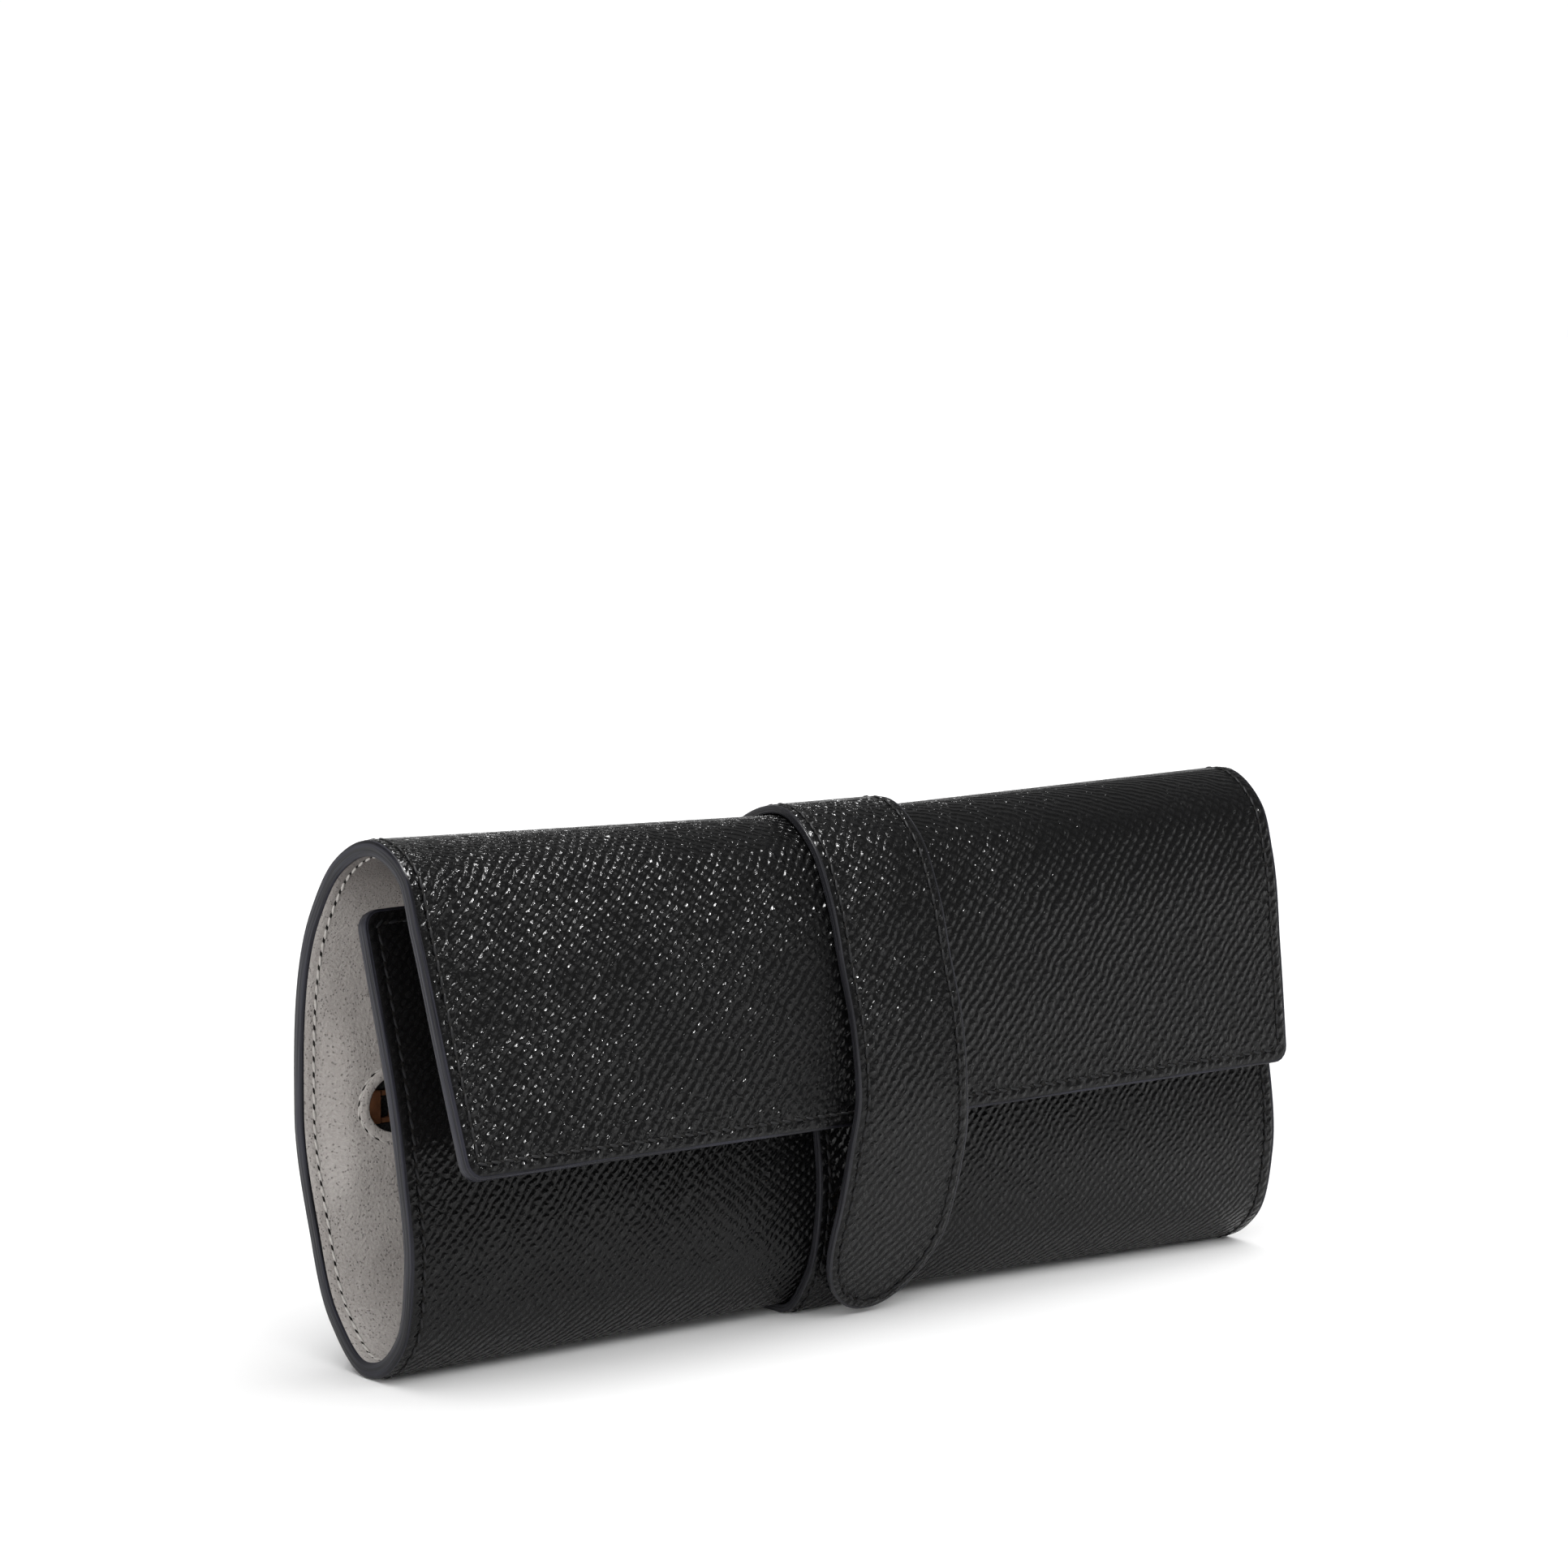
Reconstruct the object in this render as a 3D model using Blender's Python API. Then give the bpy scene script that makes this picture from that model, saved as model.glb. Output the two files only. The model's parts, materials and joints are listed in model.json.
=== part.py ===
# A leather jewelry roll, closed and standing on its bottom fold. One stiffened sheet is folded twice:
# the leaf stands in front, the back runs from the bottom fold to the top fold, and the flap hangs down
# over the leaf. A strap is sewn round the outside, and its tongue snaps onto the band on the leaf.
# X runs along the roll, +Y is behind it and +Z is up. The origin is under the middle, on the ground.
import bpy
import bmesh
import numpy as np
from math import cos, pi, radians, sin
from mathutils import Matrix, Vector

for old in list(bpy.data.objects):
    bpy.data.objects.remove(old, do_unlink=True)

MM = 0.001

# Overall sizes
LENGTH = 207.0 * MM
HEIGHT = 98.0 * MM
DEPTH = 58.9 * MM            # from the back of the cover to the flap's flared corner
SEAT = 0.3 * MM              # the air that is left between two pieces that touch

# The three layers of the sheet
COVER_T = 1.1 * MM
BOARD_T = 0.6 * MM
LINING_T = 0.8 * MM
BOARD_MARGIN = 3.5 * MM      # the board stops short of the sewn edge
CORNER_R = 3.0 * MM
BOARD_CORNER_R = 0.4 * MM

# The strap, its free tongue and the press stud under it
STRAP_W = 26.4 * MM
STRAP_T = 1.7 * MM
TONGUE_W = 28.2 * MM
TONGUE_LEATHER_T = 1.0 * MM
TONGUE_TIP = 20.0 * MM       # length of the rounded end
TONGUE_BLUNT = 6             # degrees of that round which the very tip leaves off
TONGUE_FLARE = (36.0 * MM, 48.0 * MM)   # from the tip, where the strap widens into the tongue
BAND_RISE = 56.0 * MM        # length of the band that is sewn up the leaf
BAND_CORNER_R = 5.0 * MM
SNAP_UP = 20.0 * MM          # height of the press stud along the tongue, from its tip
SNAP_R = 4.6 * MM
SNAP_POST_R = 1.7 * MM
SNAP_HOLE = 1.3 * MM         # depth of the socket's blind hole
SNAP_BASE_T = 0.6 * MM
SOCKET_T = 2.0 * MM

# The zip pocket in the back lining
ZIP_END = 12.7 * MM          # from the roll's end to the window's round end
WINDOW_H = 11.7 * MM
POCKET_T = 0.3 * MM
POCKET_AIR = 0.5 * MM        # between the curved pocket and the flat zip
POCKET_DROP = 30.0 * MM      # how far the pocket reaches below the zip
POCKET_RISE = 13.0 * MM      # and above it
POCKET_FADE = 12.0 * MM      # width of the slope around the pocket
POCKET_MARGIN = 6.0 * MM     # the lining stays swollen this far past the pocket
TAPE_T = 0.4 * MM
TAPE_REACH = 10.0 * MM       # from the middle of the chain to the tape's outer edge
TAPE_OVER = 3.5 * MM         # tape past the window's end
CHAIN_W = 6.0 * MM
TOOTH_T = 1.3 * MM
TOOTH_L = 1.9 * MM
TOOTH_HEAD_L = 1.3 * MM
TOOTH_PITCH = 3.6 * MM
CORD_W = 0.9 * MM            # the cord in the tape's edge that the teeth are crimped to
SLOT_W = 1.2 * MM            # between the two rows of teeth
STOP_L = 1.8 * MM
SLIDER_L = 9.0 * MM
SLIDER_PLATE_T = 0.7 * MM
SLIDER_BACK_T = 0.4 * MM
SLIDER_WEB_T = 0.6 * MM
SLIDER_LIP_T = 0.9 * MM
TOP_STOP_IN = 3.0 * MM       # from the window's right end to the two top stops
BOTTOM_STOP_IN = 1.2 * MM    # and from its left end to the bottom stop
BRIDGE_L = 5.2 * MM
BRIDGE_W = 1.8 * MM
BRIDGE_T = 0.6 * MM
PULL_L = 18.0 * MM
PULL_W = 4.8 * MM
PULL_T = 0.8 * MM
PULL_ARM = 0.9 * MM
PULL_HOLE_R = 1.1 * MM

# The ring bar on the leaf's lining
BAR_IN = 44.5 * MM           # from the roll's end to the bar's stuffed end
BAR_R = 6.0 * MM
BAR_SLEEVE_T = 0.8 * MM
BAR_UP = 42.0 * MM           # along the leaf, from the bottom fold to the bar
BAR_LIFT = 1.0 * MM          # clears the leaf's slight belly between the bar's ends
BAR_CORE_IN = 3.0 * MM       # from the sleeve's end to the stuffing
TAB_ROOT = 1.5 * MM          # of each tab inside the sleeve
TAB_L = 14.0 * MM
TAB_W = 10.0 * MM
TAB_T = 1.1 * MM
BAR_HINGE_RUN = 8.0 * MM     # flat tab between the bar's stuffed end and its sewn end
BAR_SNAP_R = 3.9 * MM
BAR_SNAP_T = 1.7 * MM
BAR_CAP_RIM_T = 1.2 * MM     # the cap's upright rim, and the depth of its hollow
BAR_CAP_TOP_R = 2.9 * MM
BAR_POST_R = 1.3 * MM
BAR_POST_H = 2.3 * MM

STACK = SEAT + STRAP_T                       # strap and the air under it
SHEET_T = COVER_T + BOARD_T + LINING_T + 2 * SEAT
BACK_Y = (DEPTH - STACK) / 2                 # y of the cover's back
TOP_FOLD = 0.467                             # where the folds lie, as shares of the depth
BOTTOM_FOLD = 0.480
ZIP_AT = 0.460                               # the zip's height as a share, where the back stands upright
ZIP_Z = ZIP_AT * HEIGHT
DIP = STACK / HEIGHT                         # how far the strap draws the sheet in

# The cover's outer face in section, as shares of the depth and the height, at the left end, at the
# strap and at the right end. The flap flares at the left end and lies closer at the right.
SECTION = {
    "flap_edge": ((1.000, 0.428), (0.832, 0.403), (0.796, 0.403)),
    "flap_middle": ((0.866, 0.633), (0.805, 0.633), (0.757, 0.633)),
    "flap_upper": ((0.730, 0.848), (0.716, 0.837), (0.711, 0.837)),
    "flap_shoulder": ((0.655, 0.952), (0.642, 0.918), (0.655, 0.932)),
    "top_fold": ((TOP_FOLD, 1.000), (TOP_FOLD, 1 - DIP), (TOP_FOLD, 1.000)),
    "crown_back": ((0.250, 0.950), (0.250, 0.933), (0.250, 0.950)),
    "back_upper": ((0.115, 0.851), (0.112, 0.841), (0.109, 0.851)),
    "back_middle": ((0.000, ZIP_AT), (0.000, ZIP_AT), (0.000, ZIP_AT)),
    "back_lower": ((0.077, 0.251), (0.065, 0.251), (0.065, 0.251)),
    "heel": ((0.200, 0.082), (0.180, 0.092), (0.175, 0.079)),
    "bottom_back": ((0.405, 0.000), (0.310, DIP), (0.310, 0.000)),
    "bottom_fold": ((BOTTOM_FOLD, 0.0075), (BOTTOM_FOLD, DIP), (BOTTOM_FOLD, 0.000)),
    "toe": ((0.625, 0.078), (0.605, 0.092), (0.655, 0.060)),
    "leaf_bulge": ((0.679, 0.215), (0.667, 0.224), (0.730, 0.204)),
    "leaf_middle": ((0.634, 0.429), (0.640, 0.429), (0.700, 0.418)),
    "leaf_edge": ((0.425, 0.866), (0.425, 0.888), (0.430, 0.888)),
}
NAMES = list(SECTION)
# Which way the section runs at some of those points, in the same three places
HEADINGS = {
    "top_fold": ((-1, 0), (-1, 0), (-1, 0)),
    "back_middle": ((0, -1), (0, -1), (0, -1)),
    "bottom_back": ((1, 0), (1, 0), (1, 0)),
    "bottom_fold": ((0.958, 0.287), (1, 0), (1, 0)),
}
PANELS = {
    "flap": ("flap_edge", "top_fold"),
    "back": ("top_fold", "bottom_fold"),
    "leaf": ("bottom_fold", "leaf_edge"),
}

# How finely the pieces are divided
PATH_STEPS = 12              # points on the section's curve between two named points
PATH_SEARCH = 800            # places tried along a path when a spot on it is looked for
PANEL_STEPS = {"flap": 16, "back": 26, "leaf": 18}
FREE_STEPS = 10              # along the tongue, the band and the pocket
SLOPE_STEPS = 3              # across a swell in the lining, and in a rounded corner
ROUND_STEPS = 8              # in a half circle
SNAP_SEGMENTS = 20
SLEEVE_SEGMENTS = 24
SHARP_ANGLE = 0.6            # a crease beyond this many radians is shaded as an edge

# The tongue's outer face in section, as the same shares, from its tip up to where it leaves the flap
TONGUE_SECTION = ((0.655, 0.010), (0.797, 0.182), (0.866, 0.310), (0.906, 0.440), (0.880, 0.590))
TONGUE_FROM = 0.735          # that height, as a share


def curve(points, headings):
    """A smooth curve through points; headings fixes the direction at some of them."""
    points = np.array(points, float)
    chords = np.linalg.norm(np.diff(points, axis=0), axis=1)
    slopes = np.diff(points, axis=0) / chords[:, None]
    tangents = np.empty_like(points)
    tangents[0], tangents[-1] = slopes[0], slopes[-1]
    for i in range(1, len(points) - 1):
        before, after = chords[i - 1], chords[i]
        tangents[i] = (slopes[i - 1] * after + slopes[i] * before) / (before + after)
    for i, heading in headings.items():
        tangents[i] = heading
    out = [points[0]]
    for i, chord in enumerate(chords):
        for step in range(1, PATH_STEPS + 1):
            t = step / PATH_STEPS
            out.append((2 * t**3 - 3 * t**2 + 1) * points[i] + (t**3 - 2 * t**2 + t) * chord * tangents[i]
                       + (3 * t**2 - 2 * t**3) * points[i + 1] + (t**3 - t**2) * chord * tangents[i + 1])
    return np.array(out)


class Path:
    """A stretch of a curve in section, whose outer side is on its right as it runs."""

    def __init__(self, points, first=0, last=-1, gaps=(0, 0)):
        self.points = points
        steps = np.linalg.norm(np.diff(points, axis=0), axis=1)
        self.along = np.concatenate([[0.0], np.cumsum(steps)])
        headings = np.gradient(points, self.along, axis=0, edge_order=2)
        self.headings = headings / np.linalg.norm(headings, axis=1)[:, None]
        self.start = self.along[first] + gaps[0]
        self.length = self.along[last] - gaps[1] - self.start

    def at(self, distance):
        """Point and outward direction at a distance along the path."""
        spot = self.start + min(max(distance, 0.0), self.length)
        point = np.array([np.interp(spot, self.along, self.points[:, k]) for k in (0, 1)])
        heading = np.array([np.interp(spot, self.along, self.headings[:, k]) for k in (0, 1)])
        heading /= np.linalg.norm(heading)
        return point, np.array([heading[1], -heading[0]])

    def reach(self, measure):
        """The distance along the path at which a measure of the point there is smallest."""
        samples = np.linspace(0, self.length, PATH_SEARCH)
        return float(min(samples, key=lambda s: measure(self.at(s)[0])))


def section_points(x):
    """The whole section at x: forward distance and height of the cover's outer face."""
    flat = STRAP_W / 2
    share = max(0.0, abs(x) - flat) / (LENGTH / 2 - flat)
    end = 0 if x < 0 else 2

    def blend(places):
        return (1 - share) * np.array(places[1]) + share * np.array(places[end])

    points = [blend(places) * (DEPTH, HEIGHT) for places in SECTION.values()]
    return curve(points, {NAMES.index(n): blend(places) for n, places in HEADINGS.items()})


def panel_path(panel, x):
    """The stretch of the section that a panel covers, short of each fold by half the gap there."""
    first, last = (NAMES.index(n) * PATH_STEPS for n in PANELS[panel])
    gaps = (0 if panel == "flap" else SEAT / 2, 0 if panel == "leaf" else SEAT / 2)
    return Path(section_points(x), first, last, gaps)


def place(x, path, distance, depth):
    """World point at a distance along a path, sunk by depth below its outer face."""
    point, outward = path.at(distance)
    q, z = point - outward * depth
    return Vector((x, BACK_Y - q, z))


def frame_on(x, path, distance, depth):
    """A frame on a path's face: its Z axis points out of the roll, and its X axis along it."""
    outward = path.at(distance)[1]
    normal = Vector((0, -outward[0], outward[1]))
    side = Vector((1, 0, 0))
    matrix = Matrix((side, normal.cross(side), normal)).transposed().to_4x4()
    matrix.translation = place(x, path, distance, depth)
    return matrix


def material(name, color, roughness, metallic=0.0):
    """A plain finish with the colour that the photograph shows."""
    mat = bpy.data.materials.new(name)
    mat.use_nodes = True
    shader = mat.node_tree.nodes["Principled BSDF"]
    shader.inputs["Base Color"].default_value = (*color, 1)
    shader.inputs["Roughness"].default_value = roughness
    shader.inputs["Metallic"].default_value = metallic
    return mat


COLORS = {
    "black": (0.012, 0.012, 0.014),
    "grey": (0.30, 0.28, 0.26),
    "board": (0.16, 0.13, 0.10),
    "cloth": (0.010, 0.010, 0.011),
    "brass": (0.60, 0.40, 0.16),
    "foam": (0.45, 0.45, 0.43),
}
ROUGHNESS = {"black": 0.35, "grey": 0.6, "board": 0.8, "cloth": 0.9, "brass": 0.3, "foam": 0.9}


def add(name, bm, look, smooth=True):
    """Turn a bmesh into a named object with its own finish."""
    mesh = bpy.data.meshes.new(name)
    bm.to_mesh(mesh)
    bm.free()
    obj = bpy.data.objects.new(name, mesh)
    bpy.context.scene.collection.objects.link(obj)
    mesh.materials.append(material(name, COLORS[look], ROUGHNESS[look], 1.0 if look == "brass" else 0.0))
    if smooth:
        mesh.shade_smooth()
        mesh.set_sharp_from_angle(angle=SHARP_ANGLE)
    return obj


def empty(name, location):
    """A pivot on a joint's axis, which carries the pieces that turn about it."""
    obj = bpy.data.objects.new(name, None)
    obj.location = location
    bpy.context.scene.collection.objects.link(obj)
    return obj


def carry(parent, *pieces):
    """Hang pieces that are placed in world space on a pivot, and leave them where they are."""
    shift = Matrix.Translation(-parent.location)
    for piece in pieces:
        if piece.data and piece.matrix_basis == Matrix.Identity(4):
            piece.data.transform(shift)
        else:
            piece.matrix_basis = shift @ piece.matrix_basis
        piece.parent = parent


def boolean(obj, other, operation):
    """Cut or join another shape, which is then only a guide."""
    other.hide_render = True
    other.display_type = "WIRE"
    mod = obj.modifiers.new(operation.lower(), "BOOLEAN")
    mod.operation = operation
    mod.solver = "EXACT"
    mod.object = other
    return obj


def corner_rows(radius):
    """Rows over a rounded corner: distance from the edge, and how much each row is narrowed."""
    angles = [pi / 2 * k / SLOPE_STEPS for k in range(SLOPE_STEPS + 1)]
    return [(radius * (1 - cos(a)), radius * (1 - sin(a))) for a in angles]


def sheet(name, look, path_at, rows, columns, depth, thickness, middle=0.0):
    """
    A flat pattern laid on the section's curve and given its thickness. Each row is a share of the
    path's length, an offset from there and the row's half width; columns are shares of that half,
    on either side of the middle.
    """
    bm = bmesh.new()
    bmesh.ops.create_grid(bm, x_segments=len(columns) - 1, y_segments=len(rows) - 1, size=1.0)
    key = bm.verts.layers.int.new("key")
    spots = []
    for vert in sorted(bm.verts, key=lambda v: (round(v.co.y, 5), v.co.x)):
        share, offset, half = rows[len(spots) // len(columns)]
        x = middle + columns[len(spots) % len(columns)] * half
        path = path_at(x)
        distance = share * path.length + offset
        sunk = depth(x, path, distance) if callable(depth) else depth
        vert[key] = len(spots)
        vert.co = place(x, path, distance, sunk)
        spots.append(place(x, path, distance, sunk + thickness))
    bmesh.ops.triangulate(bm, faces=bm.faces[:], quad_method="FIXED")
    inner = bmesh.ops.extrude_face_region(bm, geom=bm.faces[:])["geom"]
    for vert in inner:
        if isinstance(vert, bmesh.types.BMVert):
            vert.co = spots[vert[key]]
    bmesh.ops.recalc_face_normals(bm, faces=bm.faces[:])
    return add(name, bm, look)


# Where a panel is divided along the roll, as shares of its half length: at the strap's edges, and on
# the back lining also around the zip's swell
WAIST = STRAP_W / LENGTH
TAPE_SHARE = 1 - (ZIP_END - TAPE_OVER - SEAT) / (LENGTH / 2)
SLOPE = [TAPE_SHARE + (1 - TAPE_SHARE) * k / SLOPE_STEPS for k in range(SLOPE_STEPS)]
PANEL_COLUMNS = (-1, -0.6, -WAIST, WAIST, 0.6, 1)
LINING_COLUMNS = (-1, *[-c for c in reversed(SLOPE)], -WAIST, WAIST, *SLOPE, 1)


def panel_rows(panel, margin=0.0):
    """Rows of a panel, closer together in a rounded corner at its free edge."""
    count = PANEL_STEPS[panel]
    half = LENGTH / 2 - margin
    radius = max(CORNER_R - margin, BOARD_CORNER_R)
    corners = corner_rows(radius)
    inner = [k / count for k in range(1, count)]
    if panel == "flap":
        rows = [(0, s + margin, half - trim) for s, trim in corners]
        rows += [(t, (1 - t) * (radius + margin), half) for t in inner] + [(1, 0, half)]
    elif panel == "leaf":
        rows = [(0, 0, half)] + [(t, -t * (radius + margin), half) for t in inner]
        rows += [(1, -s - margin, half - trim) for s, trim in reversed(corners)]
    else:
        rows = [(k / count, 0, half) for k in range(count + 1)]
    return rows


# Depths of the zip's layers below the cover's outer face, from the pocket inwards
LINING_IN = COVER_T + BOARD_T + 2 * SEAT
PLATE_IN = LINING_IN + POCKET_T + POCKET_AIR
TOOTH_IN = PLATE_IN + SLIDER_BACK_T + SEAT
TAPE_IN = TOOTH_IN + (TOOTH_T - TAPE_T) / 2
LINING_OVER_TAPE = TAPE_IN + TAPE_T + SEAT
SHIELD_IN = TOOTH_IN + TOOTH_T + SEAT
PULL_IN = SHIELD_IN + SLIDER_PLATE_T + SEAT
WINDOW_HALF = LENGTH / 2 - ZIP_END
TAPE_HALF = WINDOW_HALF + TAPE_OVER
ZIP_LEFT = -WINDOW_HALF + BOTTOM_STOP_IN + STOP_L    # the teeth run between the stops, from here
ZIP_RIGHT = WINDOW_HALF - TOP_STOP_IN - STOP_L       # to here
PARK_X = ZIP_RIGHT - SEAT - SLIDER_L / 2


def swell(x, z, reach, low, high, fade):
    """1 over a rectangle of the back lining, falling to 0 around it within the fades."""
    over = max(0.0, (abs(x) - reach) / fade[0], (z - high) / fade[1], (low - z) / fade[1])
    share = max(0.0, 1 - over)
    return share * share * (3 - 2 * share)


def lining_depth(x, path, distance):
    """The back lining swells over the pocket, and further over the zip's tapes."""
    z = path.at(distance)[0][1]
    pocket = swell(x, z, TAPE_HALF, ZIP_Z - POCKET_DROP - POCKET_MARGIN,
                   ZIP_Z + POCKET_RISE + POCKET_MARGIN, (LENGTH / 2 - TAPE_HALF - 2 * SEAT, POCKET_FADE))
    tapes = swell(x, z, TAPE_HALF + SEAT, ZIP_Z - TAPE_REACH - SEAT, ZIP_Z + TAPE_REACH + SEAT,
                  (LENGTH / 2 - TAPE_HALF - BOARD_MARGIN, POCKET_FADE))
    return LINING_IN + max((POCKET_T + SEAT) * pocket, (LINING_OVER_TAPE - LINING_IN) * tapes)


def arc(cu, cv, radius, start, turn, steps=ROUND_STEPS):
    """Points on an arc about (cu, cv), from an angle through a turn."""
    angles = [start + turn * k / steps for k in range(steps + 1)]
    return [(cu + radius * cos(a), cv + radius * sin(a)) for a in angles]


def block(name, look, low, high):
    """A rectangular solid between two corners."""
    bm = bmesh.new()
    bmesh.ops.create_cube(bm, size=1.0)
    size = Vector(high) - Vector(low)
    bmesh.ops.scale(bm, vec=size, verts=bm.verts[:])
    bmesh.ops.translate(bm, vec=(Vector(low) + Vector(high)) / 2, verts=bm.verts[:])
    return add(name, bm, look, smooth=False)


def turned(name, look, profile, matrix, segments=SNAP_SEGMENTS):
    """A round piece: its profile, pairs of radius and height, is spun about its own Z axis."""
    bm = bmesh.new()
    verts = [bm.verts.new((r, 0, h)) for r, h in profile]
    edges = [bm.edges.new(pair) for pair in zip(verts, verts[1:]) if max(v.co.x for v in pair) > 0]
    bmesh.ops.spin(bm, geom=verts + edges, axis=(0, 0, 1), cent=(0, 0, 0), angle=2 * pi,
                   steps=segments, use_merge=True)
    bmesh.ops.remove_doubles(bm, verts=bm.verts[:], dist=1e-6)
    bmesh.ops.recalc_face_normals(bm, faces=bm.faces[:])
    obj = add(name, bm, look)
    obj.matrix_basis = matrix
    return obj


def prism(name, look, outline, axis_map, low, high):
    """An outline extruded between two levels; axis_map turns (u, v, level) into x, y, z."""
    bm = bmesh.new()
    ring = [bm.verts.new(axis_map(u, v, low)) for u, v in outline]
    face = bm.faces.new(ring)
    extruded = bmesh.ops.extrude_face_region(bm, geom=[face])["geom"]
    shift = Vector(axis_map(0, 0, high)) - Vector(axis_map(0, 0, low))
    bmesh.ops.translate(bm, verts=[v for v in extruded if isinstance(v, bmesh.types.BMVert)], vec=shift)
    bmesh.ops.recalc_face_normals(bm, faces=bm.faces[:])
    return add(name, bm, look, smooth=False)


def build_sheets():
    """The three panels, each with its cover, its board and its lining."""
    for panel in PANELS:
        path_at = PATHS[panel]
        full, short = panel_rows(panel), panel_rows(panel, BOARD_MARGIN)
        columns, sunk = (LINING_COLUMNS, lining_depth) if panel == "back" else (PANEL_COLUMNS, LINING_IN)
        PIECES[panel] += [
            sheet(f"cover_{panel}", "black", path_at, full, PANEL_COLUMNS, 0.0, COVER_T),
            sheet(f"board_{panel}", "board", path_at, short, PANEL_COLUMNS, COVER_T + SEAT, BOARD_T),
            sheet(f"lining_{panel}", "grey", path_at, full, columns, sunk, LINING_T),
        ]
    radius = WINDOW_H / 2
    reach = WINDOW_HALF - radius
    outline = arc(reach, 0, radius, -pi / 2, pi) + arc(-reach, 0, radius, pi / 2, pi)
    window = prism("window_cutter", "grey", outline, lambda u, v, depth: (u, BACK_Y - depth, ZIP_Z + v),
                   COVER_T, LINING_OVER_TAPE + LINING_T + COVER_T)
    boolean(PIECES["back"][-1], window, "DIFFERENCE")


def build_pocket():
    """The pocket's back wall, the zip's tapes, teeth and stops."""
    back = PATHS["back"](0)
    low = at_height(back, ZIP_Z - POCKET_DROP)
    high = at_height(back, ZIP_Z + POCKET_RISE)
    rows = [(0, high + (low - high) * k / FREE_STEPS, TAPE_HALF) for k in range(FREE_STEPS + 1)]
    PIECES["back"].append(sheet("pocket_back", "cloth", PATHS["back"], rows, (-1, -0.4, 0.4, 1),
                                LINING_IN, POCKET_T))
    for name, side in (("upper", 1), ("lower", -1)):
        near, far = (ZIP_Z + side * d for d in (CHAIN_W / 2 + SEAT, TAPE_REACH))
        PIECES["back"].append(block(f"zip_tape_{name}", "cloth",
                                    (-TAPE_HALF, BACK_Y - TAPE_IN - TAPE_T, min(near, far)),
                                    (TAPE_HALF, BACK_Y - TAPE_IN, max(near, far))))
        PIECES["back"].append(teeth(f"zip_teeth_{name}", side))
    y_low, y_high = BACK_Y - TOOTH_IN - TOOTH_T, BACK_Y - TOOTH_IN
    stops = {"zip_stop_bottom": (ZIP_LEFT - STOP_L, -CHAIN_W, CHAIN_W),
             "zip_stop_upper": (ZIP_RIGHT, SLOT_W, CHAIN_W),
             "zip_stop_lower": (ZIP_RIGHT, -CHAIN_W, -SLOT_W)}
    for name, (x, low, high) in stops.items():
        PIECES["back"].append(block(name, "brass", (x, y_low, ZIP_Z + low / 2),
                                    (x + STOP_L, y_high, ZIP_Z + high / 2)))


def teeth(name, side):
    """One row of teeth on their cord, half a pitch off the other row, each narrower at its head."""
    wide, narrow = TOOTH_L / 2, TOOTH_HEAD_L / 2
    low, high = ZIP_LEFT + SEAT, ZIP_RIGHT - SEAT
    count = int((high - low) / TOOTH_PITCH - 0.5)
    start = (low + high) / 2 - (count - 1) / 2 * TOOTH_PITCH + side * TOOTH_PITCH / 4
    root, cord, head = (side * v for v in (CHAIN_W / 2, CHAIN_W / 2 - CORD_W, SLOT_W / 2))
    outline = [(low, root), (low, cord)]
    for k in range(count):
        x = start + k * TOOTH_PITCH
        outline += [(x - wide, cord), (x - narrow, head), (x + narrow, head), (x + wide, cord)]
    outline += [(high, cord), (high, root)]
    return prism(name, "brass", outline, lambda u, v, y: (u, y, ZIP_Z + v),
                 BACK_Y - TOOTH_IN - TOOTH_T, BACK_Y - TOOTH_IN)


def build_slider():
    """The slider's two plates, joined by a web between the rows, with a bridge on the front one."""
    half = CHAIN_W / 2 + SEAT
    side = half + SLIDER_LIP_T
    web = SLIDER_WEB_T / 2
    back, face = PLATE_IN, SHIELD_IN + SLIDER_PLATE_T
    right = [(side, back), (side, TAPE_IN - SEAT), (half, TAPE_IN - SEAT), (half, back + SLIDER_BACK_T),
             (web, back + SLIDER_BACK_T), (web, SHIELD_IN), (half, SHIELD_IN),
             (half, LINING_OVER_TAPE), (side, LINING_OVER_TAPE), (side, face)]
    outline = right + [(-u, v) for u, v in reversed(right)]
    slider = prism("zip_slider", "brass", outline, lambda u, v, x: (x, BACK_Y - v, ZIP_Z + u),
                   PARK_X - SLIDER_L / 2, PARK_X + SLIDER_L / 2)
    reach = BRIDGE_L / 2
    foot, top = face - SEAT / 2, PULL_IN + PULL_T + SEAT + BRIDGE_T
    arch = [(-reach, foot), (-reach, top), (reach, top), (reach, foot), (reach - BRIDGE_T, foot),
            (reach - BRIDGE_T, top - BRIDGE_T), (BRIDGE_T - reach, top - BRIDGE_T), (BRIDGE_T - reach, foot)]
    bridge = prism("bridge_guide", "brass", arch, lambda u, v, z: (PARK_X + u, BACK_Y - v, z),
                   ZIP_Z - BRIDGE_W / 2, ZIP_Z + BRIDGE_W / 2)
    return boolean(slider, bridge, "UNION")


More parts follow.
